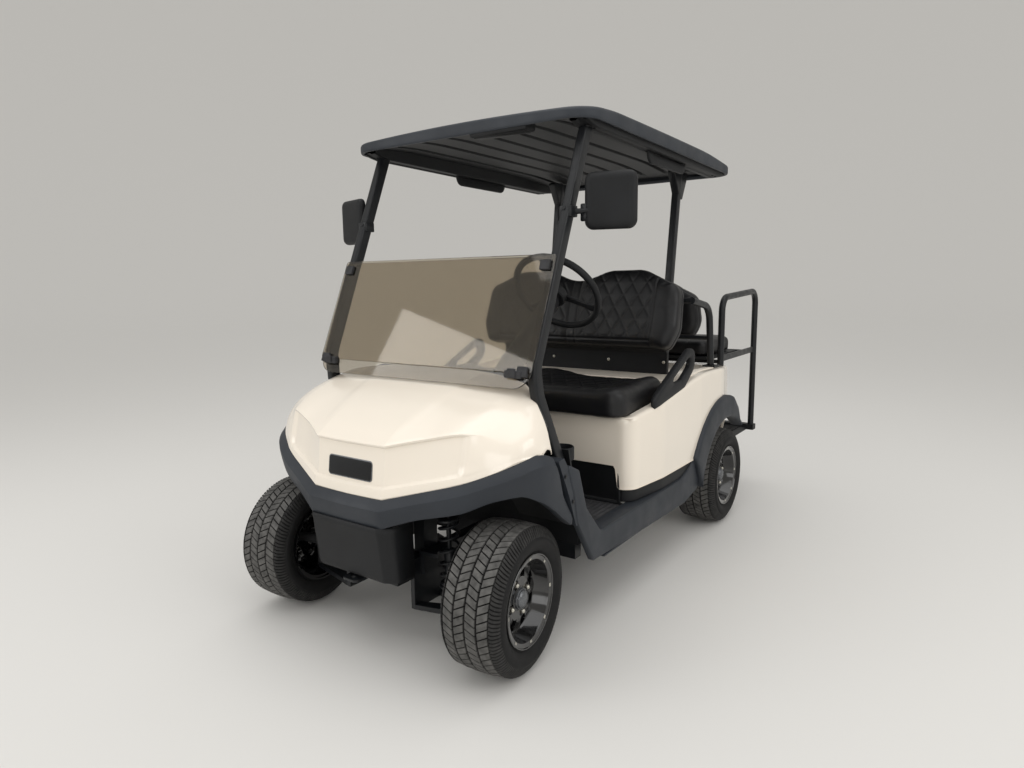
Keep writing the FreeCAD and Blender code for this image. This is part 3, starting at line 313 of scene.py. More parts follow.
def lift(outline, plane, level):
    """Flat (a, b) points to space: plane x, y or z names the constant axis."""
    a, b = outline[:, 0], outline[:, 1]
    c = np.full(len(a), float(level))
    return np.stack({"x": (c, a, b), "y": (a, c, b), "z": (a, b, c)}[plane], 1)


def shrunk_rings(outline, plane, rows, caps=(0, -1)):
    """A tube of rings of the outline, each inset by a depth and set at a level of the plane's axis."""
    return patch([lift(inset(outline, depth), plane, level) for depth, level in rows], close_cols=True, caps=caps)


def slab(outline, plane, low, high, edge=2.0, steps=3, edge_high=None):
    """A prism with both rims rounded: rings of the outline shrink along a quarter circle towards each cap."""
    edge_high = edge if edge_high is None else edge_high
    turn = np.linspace(0, math.pi / 2, steps + 1)
    rows = [(edge * (1 - math.sin(t)), low + edge * (1 - math.cos(t))) for t in turn]
    rows += [(edge_high * (1 - math.sin(t)), high - edge_high * (1 - math.cos(t))) for t in turn[::-1]]
    return shrunk_rings(outline, plane, rows)


def plan_rings(plan, inward, rows):
    """Rings of a line in plan, each moved along its normals by a depth and set at a height: numbers or arrays."""
    return np.array([np.column_stack([plan + inward * np.reshape(depth, (-1, 1)), np.broadcast_to(z, len(plan))])
                     for depth, z in rows])


def rectangle(x0, x1, y0, y1, corner, steps=8):
    """A rounded rectangle; corner is one radius, or one for the lower and one for the upper pair."""
    low, high = corner if isinstance(corner, tuple) else (corner, corner)
    return round_outline([(x0, y0, low), (x1, y0, low), (x1, y1, high), (x0, y1, high)], 0, steps)


def block(x0, x1, y0, y1, z0, z1, edge=2.0, corner=3.0):
    """A small moulded or folded part: a rounded rectangle carried upwards."""
    return slab(rectangle(x0, x1, y0, y1, corner, 3), "z", z0, z1, edge, 2)


def turned(profile, centre, axis, segments=48):
    """A profile of (along, radius) pairs turned about an axis through the centre."""
    axis = unit(axis)
    side = unit(np.cross(axis, (0, 0, 1.0) if abs(axis[2]) < 0.9 else (0, 1.0, 0)))
    up = np.cross(axis, side)
    angle = np.linspace(0, 2 * math.pi, segments, endpoint=False)
    ring = np.cos(angle)[:, None] * side + np.sin(angle)[:, None] * up
    profile = np.array(profile, float)
    grid = (np.array(centre, float) + profile[:, 0, None, None] * axis + profile[:, 1, None, None] * ring)
    return patch(grid, close_cols=True)


def dome(base, height, radius, steps=6):
    """Turned profile of a round cap: a quarter of an ellipse above the base."""
    return [(base + height * math.sin(a), radius * math.cos(a)) for a in np.linspace(0, math.pi / 2, steps)]


def bent_path(corners, bend, spacing=12.0):
    """Straight runs joined by arcs of one bend radius, as a row of points."""
    pts = [np.array(c, float) for c in corners]
    out = [pts[0]]
    for i in range(1, len(pts) - 1):
        before, after = pts[i - 1] - pts[i], pts[i + 1] - pts[i]
        lb, la = np.linalg.norm(before), np.linalg.norm(after)
        before, after = before / lb, after / la
        half = math.acos(np.clip(before @ after, -1, 1)) / 2
        reach = min(bend / math.tan(half), 0.48 * lb, 0.48 * la)
        r = reach * math.tan(half)
        centre = pts[i] + unit(before + after) * (r / math.sin(half))
        start, end = pts[i] + before * reach, pts[i] + after * reach
        whole = math.pi - 2 * half
        n = max(4, int(r * whole / spacing))
        a, b = (start - centre) / r, (end - centre) / r
        for t in np.linspace(0, 1, n + 1):
            mix = math.sin((1 - t) * whole) * a + math.sin(t * whole) * b
            out.append(centre + r * mix / math.sin(whole))
    out.append(pts[-1])
    return np.array(out)


def sweep(section, path, up=(0, 0, 1)):
    """A flat section of (sideways, upward) pairs, or one for each point, carried along a path, level with up."""
    path, section = np.asarray(path, float), np.asarray(section, float)
    along = unit(np.gradient(path, axis=0))
    side = unit(np.cross(along, up))
    top = np.cross(side, along)
    if section.ndim == 2:
        section = np.repeat(section[None], len(path), 0)
    grid = path[:, None] + section[:, :, 0, None] * side[:, None] + section[:, :, 1, None] * top[:, None]
    return patch(grid, close_cols=True, caps=(0, -1), flip=True)


def round_section(radius, sides=16):
    a = np.linspace(0, 2 * math.pi, sides, endpoint=False)
    return np.stack([radius * np.cos(a), radius * np.sin(a)], 1)


def box_section(width, depth, corner, steps=3):
    return rectangle(-width / 2, width / 2, -depth / 2, depth / 2, corner, steps)


def hex_bolt(at, axis, across=13.0, head=6.0, washer=9.5):
    """A bolt head with its washer: turned rings, the upper ones with six sides."""
    parts = [turned([(0, 0.0), (0, washer), (1.6, washer), (1.6, across * 0.5)], at, axis, 18)]
    parts.append(turned([(1.4, across * 0.56), (head - 1.2, across * 0.56), (head, across * 0.46), (head, 0.0)],
                        at, axis, 6))
    return parts


def dome_screw(at, axis, radius=8.0, height=4.0):
    """A round screw head, sunk a little into its seat."""
    return [turned([(-1.0, radius)] + dome(0, height, radius), at, axis, 18)]


def build(name, parts, finish, nodes=(), sharp=40, slot="trim_black", body="chassis", wall=0.0, side=-1.0, **mesh):
    """One dressed piece of the cart: its mesh from patches, its wall if it is an open shell, then what dress says."""
    piece = make_mesh(name, parts, sharp, **mesh)
    if wall:
        thicken(piece, wall, side)
    return dress(piece, FINISHES[finish], body, nodes)


# Finishes
def add(tree, kind, inputs=None, **settings):
    """Adds one shader node with its settings; an input given an output socket is linked to it."""
    made = tree.nodes.new(kind)
    for key, value in settings.items():
        setattr(made, key, value)
    for key, value in (inputs or {}).items():
        if isinstance(value, bpy.types.NodeSocket):
            tree.links.new(value, made.inputs[key])
        else:
            made.inputs[key].default_value = value
    return made


def new_finish(name, colour, roughness, **more):
    """A finish with one shader, its colour and the numbers that are the same all over it."""
    material = bpy.data.materials.new(name)
    material.use_nodes = True
    tree = material.node_tree
    shader = tree.nodes["Principled BSDF"]
    shader.inputs["Base Color"].default_value = (*tuple(colour)[:3], 1.0)
    shader.inputs["Roughness"].default_value = roughness
    for key, value in more.items():
        shader.inputs[key.replace("_", " ").title().replace("Ior", "IOR")].default_value = value
    material.diffuse_color = (*tuple(colour)[:3], 1.0)
    return material, tree, shader


def object_noise(tree, millimetres, detail=2.0):
    """Noise whose lumps are that wide on the object."""
    where = add(tree, "ShaderNodeTexCoord").outputs["Object"]
    return add(tree, "ShaderNodeTexNoise", {"Vector": where, "Scale": 1 / (millimetres * MM), "Detail": detail})


def vary_colour(tree, shader, colour, millimetres, darker, lighter, detail=3.0):
    """Drifts the colour between two shades of itself with a broad noise."""
    noise = object_noise(tree, millimetres, detail)
    ramp = add(tree, "ShaderNodeValToRGB", {"Fac": noise.outputs["Fac"]})
    low, high = ramp.color_ramp.elements
    low.position, high.position = 0.35, 0.65
    low.color = (*[c * darker for c in tuple(colour)[:3]], 1.0)
    high.color = (*[min(1.0, c * lighter) for c in tuple(colour)[:3]], 1.0)
    tree.links.new(ramp.outputs["Color"], shader.inputs["Base Color"])


def vary_roughness(tree, shader, millimetres, low, high, detail=4.0):
    noise = object_noise(tree, millimetres, detail)
    span = add(tree, "ShaderNodeMapRange", {"Value": noise.outputs["Fac"], "From Min": 0.3, "From Max": 0.7,
                                            "To Min": low, "To Max": high})
    tree.links.new(span.outputs["Result"], shader.inputs["Roughness"])


def grain(tree, shader, millimetres, strength, depth, height=None):
    """Raises the surface by a pattern output, or by noise of that size where none is given."""
    source = height or object_noise(tree, millimetres).outputs["Fac"]
    bump = add(tree, "ShaderNodeBump", {"Height": source, "Strength": strength, "Distance": depth * MM})
    tree.links.new(bump.outputs["Normal"], shader.inputs["Normal"])


FINISHES = {}


def add_finish(key, name, colour, roughness, shades=None, polish=None, bumps=None, **more):
    """One finish: shades is a noise size with its darkest and lightest share of the colour, polish a noise size with
    its span of roughness, bumps a grain size with its strength and depth; sizes are in millimetres."""
    FINISHES[key], tree, shader = new_finish(name, colour, roughness, **more)
    if shades:
        vary_colour(tree, shader, colour, *shades)
    if polish:
        vary_roughness(tree, shader, *polish)
    if bumps:
        grain(tree, shader, *bumps)
    return tree, shader


def mix_finishes():
    """Builds every finish of the cart from its real material."""
    c = colours()
    # Painted thermoplastic: a smooth gloss with the faint waviness of a large moulding.
    add_finish("shell", "painted_thermoplastic", c.shell, 0.22, (420.0, 0.965, 1.0), None, (60.0, 0.05, 1.2),
               coat_weight=0.6, coat_roughness=0.06, ior=1.5)
    # Textured thermoplastic olefin: spark-eroded grain under 1 mm, drawn at 1.6 mm so that it shows.
    add_finish("slate", "textured_olefin_slate", c.slate, 0.5, (260.0, 0.88, 1.08), (90.0, 0.44, 0.6), (1.6, 0.22, 0.5),
               ior=1.48, specular_ior_level=0.4)
    # Textured ABS: matt black with a fine even grain, drawn at 1.4 mm.
    add_finish("black", "textured_abs_black", c.black, 0.55, (140.0, 0.8, 1.2), None, (1.4, 0.25, 0.4),
               ior=1.5, specular_ior_level=0.3)
    # Powder coated steel: satin black with an orange peel of about 3 mm.
    add_finish("powder", "powder_coated_steel", c.powder, 0.38, None, (45.0, 0.32, 0.5), (3.0, 0.12, 0.3),
               ior=1.5, specular_ior_level=0.4)
    # Gloss enamel on cast aluminium wheels: a deep black that mirrors the lamps.
    add_finish("enamel", "gloss_enamel_black", linear("0B0B0C"), 0.12, None, (30.0, 0.1, 0.2),
               coat_weight=0.8, coat_roughness=0.03, ior=1.5)
    # Satin chromed plastic of the centre caps and the badge rim: grey, half polished.
    add_finish("cap", "satin_chromed_plastic", linear("6E7073"), 0.28, None, (14.0, 0.22, 0.4), metallic=0.7)
    # Grained vinyl: cells of about 2 mm, a soft sheen and slightly paler where it is stretched.
    tree, shader = add_finish("vinyl", "grained_vinyl", c.vinyl, 0.42, (110.0, 0.85, 1.25), (70.0, 0.36, 0.5),
                              ior=1.5, specular_ior_level=0.4)
    cell = 2.4
    where = add(tree, "ShaderNodeTexCoord").outputs["Object"]
    cells = add(tree, "ShaderNodeTexVoronoi", {"Vector": where, "Scale": 1 / (cell * MM)}, feature="DISTANCE_TO_EDGE")
    grain(tree, shader, cell, 0.3, 0.5, cells.outputs["Distance"])
    # Tyre rubber: carbon black, with a painted highlight: the tops of the blocks are painted pale grey where the lamps
    # catch them.
    tree, shader = add_finish("tyre", "tyre_rubber", c.tyre, 0.7, None, None, (2.0, 0.2, 0.3),
                              ior=1.5, specular_ior_level=0.25)
    # Painted highlight: a share for each point, highest on the block tops and varied by a patchy noise, blends the
    # rubber towards a pale grey.
    painted_highlight = add(tree, "ShaderNodeAttribute", attribute_name="painted_highlight").outputs["Fac"]
    patchy = object_noise(tree, 22.0, 4.0).outputs["Fac"]
    share = add(tree, "ShaderNodeMath", {0: painted_highlight, 1: patchy}, operation="MULTIPLY")
    mixed = add(tree, "ShaderNodeMix", {0: share.outputs[0], 6: (*c.tyre, 1.0), 7: linear("9A9894")}, data_type="RGBA")
    tree.links.new(mixed.outputs[2], shader.inputs["Base Color"])
    # Cast acrylic, tinted bronze: each pane takes the same share of the light that passes.
    add_finish("smoke", "bronze_acrylic", c.smoke, 0.03, ior=1.49, transmission_weight=1.0)
    # Moulded rubber mat and blocks.
    add_finish("rubber", "moulded_rubber", linear("2D2D2F"), 0.8, (35.0, 0.75, 1.35, 5.0), None, (2.5, 0.3, 0.4))
    # Zinc plated steel fasteners: pale, slightly yellow metal with a dull polish.
    add_finish("zinc", "zinc_plated_steel", linear("C9C6BC"), 0.3, None, (8.0, 0.22, 0.4), metallic=1.0)
    # Cast iron and painted steel below the floor: rough, with road dust.
    add_finish("iron", "dusty_cast_iron", linear("3A3A3B"), 0.75, (60.0, 0.55, 1.3), None, (3.0, 0.4, 0.6))
    # Moulded polypropylene battery cases and wheel liners.
    add_finish("liner", "moulded_polypropylene", linear("18191A"), 0.6, (90.0, 0.8, 1.3), None, (1.8, 0.2, 0.4),
               specular_ior_level=0.3)
    # Silvered mirror glass.
    add_finish("mirror", "silvered_glass", linear("D5D9DB"), 0.02, metallic=1.0)
    # Studio floor: plain and pale, with no pattern.
    add_finish("floor", "studio_floor", c.floor, 0.6)


# Stage
CAMERA_PLACE = (1.621, -1.598 + FRONT_AXLE_Y, 1.175)
CAMERA_TURN = (35.06, -8.43, -0.73)  # yaw to the left of +Y, pitch up, roll, in degrees
CAMERA_LENS = 24.1
FLOOR_REACH = 20.0
BACKDROP_RADIUS = 14.0
BACKDROP_TOP = 42.0
# Name, place, width and height, and power of each lamp
SOFTBOXES = (("ceiling_softbox", (0.3, -0.8, 4.6), (5.0, 6.0), 84.0),
             ("front_left_softbox", (-2.8, -4.6, 2.6), (2.6, 2.2), 40.0),
             ("front_right_softbox", (2.4, -4.4, 1.5), (1.8, 1.6), 15.0),
             ("driver_side_softbox", (4.4, -0.6, 2.8), (3.0, 2.0), 38.0))
LIT_POINT = (0.0, 0.0, 0.7)


def set_facing(thing, place, ahead, roll=0.0):
    """Sets a camera or lamp down looking ahead, level apart from the roll: its columns are right, up and backwards."""
    ahead = unit(ahead)
    right = unit(np.cross(ahead, (0, 0, 1) if abs(ahead[2]) < 0.95 else (0, 1, 0)))
    up = np.cross(right, ahead)
    right, up = (math.cos(roll) * right + math.sin(roll) * up, -math.sin(roll) * right + math.cos(roll) * up)
    matrix = np.identity(4)
    matrix[:3] = np.stack([right, up, -ahead, np.array(place)], 1)
    thing.matrix_world = Matrix(matrix.tolist())


class CART_OT_stage(bpy.types.Operator):
    """Adds the pale floor, its far rim curved up, the soft lamps, the world light and the photograph's camera"""
    bl_idname = "cart.stage"
    bl_label = "Stage"

    def execute(self, context):
        scene = context.scene
        scene.view_settings.view_transform = "Standard"
        camera = put_in_scene("camera", bpy.data.cameras.new("camera"))
        camera.data.sensor_width = 36.0
        camera.data.lens = CAMERA_LENS
        camera.data.clip_end = 500.0
        yaw, pitch, roll = (math.radians(a) for a in CAMERA_TURN)
        ahead = (-math.sin(yaw) * math.cos(pitch), math.cos(yaw) * math.cos(pitch), math.sin(pitch))
        set_facing(camera, CAMERA_PLACE, ahead, roll)
        scene.camera = camera
        turn = np.linspace(0, math.pi / 2, 25)
        near = np.array([(0.001, 0), (FLOOR_REACH, 0)])
        bend = BACKDROP_RADIUS * np.stack([np.sin(turn), 1 - np.cos(turn)], 1)
        far = np.vstack([bend + (FLOOR_REACH, 0), [FLOOR_REACH + BACKDROP_RADIUS, BACKDROP_TOP]])
        angle = np.linspace(0, 2 * math.pi, 96, endpoint=False)
        for name, profile in (("floor", near), ("backdrop", far)):
            bowl = np.stack([profile[:, :1] * np.cos(angle), profile[:, :1] * np.sin(angle),
                             np.repeat(profile[:, 1:], len(angle), 1)], -1) / MM
            bowl[..., 1] -= FRONT_AXLE_Y / MM
            piece = make_mesh(name, [patch(bowl, close_cols=True)], 60)
            piece.data.materials.append(FINISHES["floor"])
            piece.visible_diffuse = piece.visible_shadow = name == "floor"
        for name, place, size, power in SOFTBOXES:
            data = bpy.data.lights.new(name, "AREA")
            data.shape = "RECTANGLE"
            data.size, data.size_y = size
            data.energy = power
            set_facing(put_in_scene(name, data), place, np.subtract(LIT_POINT, place))
        world = bpy.data.worlds.new("studio")
        scene.world = world
        world.use_nodes = True
        background = world.node_tree.nodes["Background"]
        background.inputs["Color"].default_value = (0.97, 0.965, 0.95, 1.0)
        background.inputs["Strength"].default_value = 0.74
        return {"FINISHED"}


# Wheels
WHEEL_TURNS = {"front_left": 5.0, "front_right": 185.0, "rear_left": 0.0, "rear_right": 180.0}
SPOKES = 8
WHEEL_AXIS = (0, 0, 0), (1, 0, 0)  # a point of the axle and its direction, in the wheel's own millimetres
LUG_CIRCLE = 50.8
LUG_ANGLES = np.radians([20, 110, 200, 290])


def crown_radius(across):
    """Radius of the tread over its width: it falls by the square of the distance from the middle."""
    return TYRE_RADIUS - 5.0 * (across / 75.0) ** 2


def wheel_place(name):
    """Centre of one wheel in cart millimetres and its turn about the vertical; +X of the wheel points outwards."""
    centre = np.array([middle("tyre_" + name, axis) for axis in range(3)]) - (0, FRONT_AXLE_Y, 0)
    return centre / MM, math.radians(WHEEL_TURNS[name])


def set_down(parts, centre, turn):
    """Wheel patches turned about the vertical and moved to their centre."""
    c, s = math.cos(turn), math.sin(turn)
    matrix = np.array([[c, s, 0], [-s, c, 0], [0, 0, 1]])
    return [(points @ matrix + centre, faces) for points, faces in parts]


def many(points):
    """Equal grids (count, rows, cols, 3) as one patch."""
    count, rows, cols = points.shape[:3]
    base = grid_faces(rows, cols)
    faces = (base[None] + (np.arange(count) * rows * cols)[:, None, None]).reshape(-1, 4)
    return points.reshape(-1, 3), faces.tolist()


def round_axle(across, radius, angle):
    """Points from a distance along the axle, a radius and an angle about it."""
    return np.stack(np.broadcast_arrays(across, radius * np.cos(angle), radius * np.sin(angle)), -1)


def tread_blocks(depth, pitches):
    """Four rows of slanted blocks. A block's skirt lies on the groove floor and its top follows the crown;
    neighbouring rows slant opposite ways."""
    grow = np.array([-1.05, -0.93, -0.5, 0.0, 0.5, 0.93, 1.05])
    u, v = np.meshgrid(grow, grow, indexing="ij")
    raised = (np.abs(u) < 1) & (np.abs(v) < 1)
    pitch = 2 * math.pi / pitches
    turn = np.arange(pitches)[:, None, None] * pitch
    out = []
    for row, (centre, slant) in enumerate(((-57.5, 1), (-19.2, -1), (19.2, 1), (57.5, -1))):
        across = centre + 16.6 * u
        radius = np.where(raised, crown_radius(across), crown_radius(across) - depth)
        along = (v * 10.8 + slant * u * 8.5) / TYRE_RADIUS
        out.append(round_axle(across[None], radius[None], turn + along[None] + (row % 2) * pitch / 2))
    return np.concatenate(out)


def shoulder_ribs(pitches):
    """Curved ribs, two to a pitch, that run from the tread's edge down the side wall and fade out."""
    s = np.linspace(0, 1, 9)
    across = np.interp(s, [0, 0.22, 0.45, 0.7, 1], [78.0, 84.5, 90.0, 96.0, 100.4])
    radius = np.interp(s, [0, 0.22, 0.45, 0.7, 1], [224.5, 220.5, 211.5, 201.0, 190.0])
    t = np.array([-1.0, -0.78, 0.0, 0.78, 1.0])
    height = np.where(np.abs(t) < 0.9, 1.0, 0.0)[None, :] * np.clip((1 - s) * 5, 0, 1)[:, None]
    drop = 4.0 * (1 - height)
    wide = (5.4 - 1.4 * s)[:, None] * t[None, :]
    slant = (9.0 * s + 3.0 * np.sin(s * math.pi))[:, None]
    turn = np.arange(2 * pitches)[:, None, None] * math.pi / pitches
    out = []
    for side in (-1, 1):
        grid = round_axle(side * (across[:, None] - 0.6 * drop)[None], (radius[:, None] - drop)[None],
                          turn + side * (wide + slant)[None] / TYRE_RADIUS)
        out.append(grid if side > 0 else grid[:, :, ::-1])
    return np.concatenate(out)


def tyre_parts():
    """Carcass turned from a half profile with raised rings, then the blocks and ribs; the second result is the painted
    highlight, a share for each point that is highest on the block tops.
    """
    depth = sizes().tread_depth / MM
    pitches = sizes().tread_pitches
    x = np.linspace(0, 74, 8)
    half = list(zip(x, crown_radius(x) - depth))
    half += [(79, 216.5), (84, 213), (88, 206.5), (93.5, 198), (97.5, 192), (100.5, 188), (101.2, 187), (102.3, 182),
             (102.5, 176), (102.0, 170), (100.8, 167.2), (100.2, 166), (99.6, 164), (97, 158.5), (92.5, 152),
             (88, 148.5), (86.5, 146.5), (87, 143.6), (85, 141), (82, 134), (82, 128)]
    profile = [(-a, r) for a, r in half[:0:-1]] + half
    carcass = turned(profile, *WHEEL_AXIS, 144)
    blocks, ribs = many(tread_blocks(depth, pitches)), many(shoulder_ribs(pitches))
    x, y, z = blocks[0].T
    top = crown_radius(x) - np.hypot(y, z) < 1.5
    # Painted highlight: block tops 0.55, the rest of the blocks 0.06, shoulder ribs 0.14, carcass 0.03.
    painted_highlight = np.concatenate([np.full(len(carcass[0]), 0.03), np.where(top, 0.55, 0.06), np.full(len(ribs[0]), 0.14)])
    return [carcass, blocks, ribs], painted_highlight


def rim_parts():
    """Deep dished wheel: turned barrel and lip, and a face on a polar grid whose windows sink between the spokes."""
    barrel = [(-93, 137), (-93, 143), (-88, 143), (-86, 128), (-66, 127), (-55, 110), (30, 110), (42, 118), (84, 127),
              (85.5, 133), (87, 141), (88.5, 143), (91.5, 143), (93, 141.5), (93, 138.5), (90, 136.5), (88.5, 131),
              (87, 124.5), (82, 122.5), (44, 113.5), (34, 106)]
    parts = [turned(barrel, *WHEEL_AXIS, 112)]
    radius = np.concatenate([np.linspace(112, 58, 28), np.linspace(56, 36, 8)])[:, None]
    angle = np.linspace(0, 2 * math.pi, 224, endpoint=False)[None, :]
    swing = np.abs(((angle * SPOKES / (2 * math.pi)) % 1) - 0.5) * 2
    gap = 1 - ease(0.29, 0.41, swing)
    window = gap * ease(66, 71, radius) * (1 - ease(101, 106, radius))
    ridge = np.clip(1 - np.abs(swing - 1) / 0.55, 0, 1) * ease(60, 72, radius)
    face = 40 + 9 * (1 - ease(60, 100, radius)) + 4 * ridge - 30 * window - 6 * ease(104, 111, radius)
    pocket = np.zeros_like(face)
    for a in LUG_ANGLES:
        away = np.hypot(radius * np.cos(angle) - LUG_CIRCLE * math.cos(a),
                        radius * np.sin(angle) - LUG_CIRCLE * math.sin(a))
        pocket = np.maximum(pocket, 1 - ease(11.5, 14.5, away))
    face = face - 9 * pocket
    parts.append(patch(round_axle(face, radius, angle), close_cols=True, flip=True))
    parts.append(turned([(46, 38), (50, 37), (52, 34), (52, 30)], *WHEEL_AXIS, 64))
    return parts


def cap_parts():
    """Domed centre cap with a stepped skirt."""
    return [turned([(47, 33.5), (58, 33), (60, 31.5), (60, 29.5)] + dome(60, 13.5, 29, 9), *WHEEL_AXIS, 64)]


def bright_parts():
    """Acorn lug nuts in their pockets, and small bright patches on the lip at the spoke ends that are painted
    highlights.
    """
    parts = []
    for a in LUG_ANGLES:
        at = (0, LUG_CIRCLE * math.cos(a), LUG_CIRCLE * math.sin(a))
        parts.append(turned([(36, 10.5), (42, 10.5), (44, 9.5)], at, (1, 0, 0), 6))
        parts.append(turned([(43.5, 9.2)] + dome(52, 7.5, 8.2), at, (1, 0, 0), 20))
    # Painted highlight: one small bright zinc patch on the lip at the end of each spoke.
    radius = np.array([133.6, 132.4, 126.6, 125.4])[:, None]
    across = np.array([88.6, 89.6, 88.4, 86.0])[:, None]
    for i in range(SPOKES):
        a = 2 * math.pi * i / SPOKES
        parts.append(patch(round_axle(across, radius, np.linspace(a - 0.045, a + 0.045, 4)[None]), flip=True))
    return parts


class CART_OT_wheels(bpy.types.Operator):
    """Builds the four treaded tyres, dished wheels, centre caps and lug nuts"""
    bl_idname = "cart.wheels"
    bl_label = "Wheels"

    def execute(self, context):
        # The tyre's second result is its painted highlight, passed on as a point value.
        tyre, painted_highlight = tyre_parts()
        kinds = (("treaded_tyre_", tyre, "tyre", "tyre_rubber", ["tyre_"], {"painted_highlight": painted_highlight}),
                 ("dished_wheel_", rim_parts(), "enamel", "wheel_black", ["rim_"], None),
                 ("centre_cap_", cap_parts(), "cap", "wheel_black", [], None),
                 ("lug_nuts_and_painted_glints_", bright_parts(), "zinc", "wheel_black", [], None))
        for name in WHEEL_TURNS:
            centre, turn = wheel_place(name)
            for kind, parts, finish, slot, nodes, values in kinds:
                build(kind + name, set_down(parts, centre, turn), finish, [node + name for node in nodes], slot=slot,
                      body="wheel_" + name, values=values)
        return {"FINISHED"}


# Nose
# Lengthwise hood profiles; columns: x, then y and z of the lip, ledge, crease, curve handle and rear edge
HOOD_TABLE = np.array([
    (0, -194, 528, -191, 553, -174, 690, 10, 815, 261, 877),
    (156, -194, 532, -190, 557, -174, 692, 10, 815, 256, 874),
    (256, -155, 559, -152, 582, -121, 715, 35, 818, 245, 868),
    (386, -106, 595, -103, 613, -73, 737, 50, 818, 222, 850),
    (440, -77, 614, -75, 630, -52, 728, 48, 806, 190, 828),
    (490, -45, 638, -43, 650, -22, 712, 48, 775, 150, 790),
    (532, 0, 662, 2, 668, 16, 700, 55, 742, 128, 735),
    (560, 72, 668, 74, 671, 80, 678, 92, 684, 110, 672)], float)
# Plan of the bumper band; columns: x, y, hood edge z, lower edge z
NOSE_TABLE = np.array([
    (0, -194, 528, 440), (148, -194, 531, 446), (256, -155, 559, 482), (386, -106, 595, 512), (476, -58, 630, 552),
    (524, -12, 655, 562), (553, 45, 672, 536), (566, 105, 655, 494), (571, 158, 527, 452), (575, 204, 450, 418)], float)
RIDGE_X = 150.0
BADGE_TILT = math.radians(7.0)
BADGE_PLACE = (0, -179.5, 606)


def hood_table_at(x):
    """Profile numbers at each x: level across the middle facet, then a smooth curve outwards from its ridge."""
    outer = HOOD_TABLE[1:].copy()
    outer[0, 0] = RIDGE_X
    swept = curve_through(outer[:, 0], outer[:, 1:], np.maximum(x, RIDGE_X))
    t = np.clip(x / RIDGE_X, 0, 1)[:, None] ** 2
    flat = (1 - t) * HOOD_TABLE[0, 1:] + t * HOOD_TABLE[1, 1:]
    sharp = np.where((x > RIDGE_X)[:, None], swept, flat)
    both = np.vstack([HOOD_TABLE[2:0:-1], HOOD_TABLE])
    both[:2, 0] *= -1
    smooth = curve_through(both[:, 0], both[:, 1:], x)
    return np.concatenate([sharp[:, :6], smooth[:, 6:]], 1)


def hood_grid():
    """Half hood for x of 0 and more: lip, bevelled ledge, sunk face, crisp crease, then a domed quadratic curve.
    Beyond the face the crease gives way to one round curve from the ledge up over the dome."""
    x = np.unique(np.concatenate([np.linspace(0, 400, 61), np.linspace(400, 560, 41), [RIDGE_X - 1.5, RIDGE_X + 1.5]]))
    row = hood_table_at(x)
    lip, ledge, crease, handle, rear = (row[:, 2 * i:2 * i + 2] for i in range(5))
    plan = np.gradient(ledge[:, 0], x)
    plan[x < 4] = 0
    inward = np.stack([-plan, np.ones_like(plan)], 1) / np.hypot(plan, 1)[:, None]
    sink = sizes().recess_depth / MM * (1 - ease(374, 397, x))
    rings = []

    def ring(point, depth, raise_by=0.0):
        moved = np.stack([x, point[:, 0]], 1) + inward * np.reshape(depth, (-1, 1))
        rings.append(np.column_stack([moved, point[:, 1] + raise_by]))

    for depth, raise_by in ((9.0, -2.0), (1.5, -1.0), (0.0, 2.5)):
        ring(lip, depth, raise_by)
    ring(0.25 * lip + 0.75 * ledge, 0.0)
    ring(ledge, 1.0, 1.0)
    for share in (0.5, 1.0):
        ring(ledge, 1 + sink * share, 2 + 7 * share)
    for t in (0.12, 0.3, 0.5, 0.7, 0.86):
        ring((1 - t) * ledge + t * crease, 1 + sink * (1 - 0.25 * t))
    under = 0.04 * ledge + 0.96 * crease
    ring(under, 1 + sink * 0.62)
    ring(under, 1 + sink * 0.2, 2.0)
    ring(crease, 0.6, -1.4)
    for t in np.concatenate([[0.0, 0.012, 0.03, 0.06], np.linspace(0.1, 0.97, 26), [0.985]]):
        curve = (1 - t) ** 2 * crease + 2 * t * (1 - t) * handle + t * t * rear
        panel = 1.8 * (1 - ease(146 + 70 * t, 186 + 70 * t, x)) * ease(0.05, 0.16, t)
        rings.append(np.stack([x, curve[:, 0], curve[:, 1] + panel], 1))
    rings.append(np.stack([x, rear[:, 0], rear[:, 1] - 1.0], 1))
    rings.append(np.stack([x, rear[:, 0] + 2.0, rear[:, 1] - 12.0], 1))
    grid = np.array(rings)
    rounded = slice(4, 26)  # the rings from the ledge to the middle of the dome
    face = grid[rounded]
    step = np.linalg.norm(np.diff(face, axis=0), axis=2)
    share = np.concatenate([np.zeros((1, len(x))), np.cumsum(step, axis=0)])
    share = (share / share[-1])[:, :, None]
    top = np.column_stack([x, crease])
    top = top + 0.35 * (top - (face[0] + face[-1]) / 2)
    round_side = (1 - share) ** 2 * face[0] + 2 * share * (1 - share) * top + share ** 2 * face[-1]
    grid[rounded] = face + ease(384, 446, x)[None, :, None] * (round_side - face)
    return grid


def nose_line(steps=120):
    """Fine stations of the band: straight to the ridge, then smooth along the run of the plan line."""
    outer = NOSE_TABLE[1:].copy()
    outer[0, 0] = RIDGE_X
    run = run_of(outer[:, :2])
    fine = curve_through(run, outer, np.linspace(0, run[-1], steps))
    t = np.linspace(0, 1, 17)[:-1, None]
    start = (1 - t) * NOSE_TABLE[0] + t * outer[0]
    line = np.concatenate([start, fine])
    ahead = unit(np.gradient(line[:, :2], axis=0))
    return line, np.stack([ahead[:, 1], -ahead[:, 0]], 1)


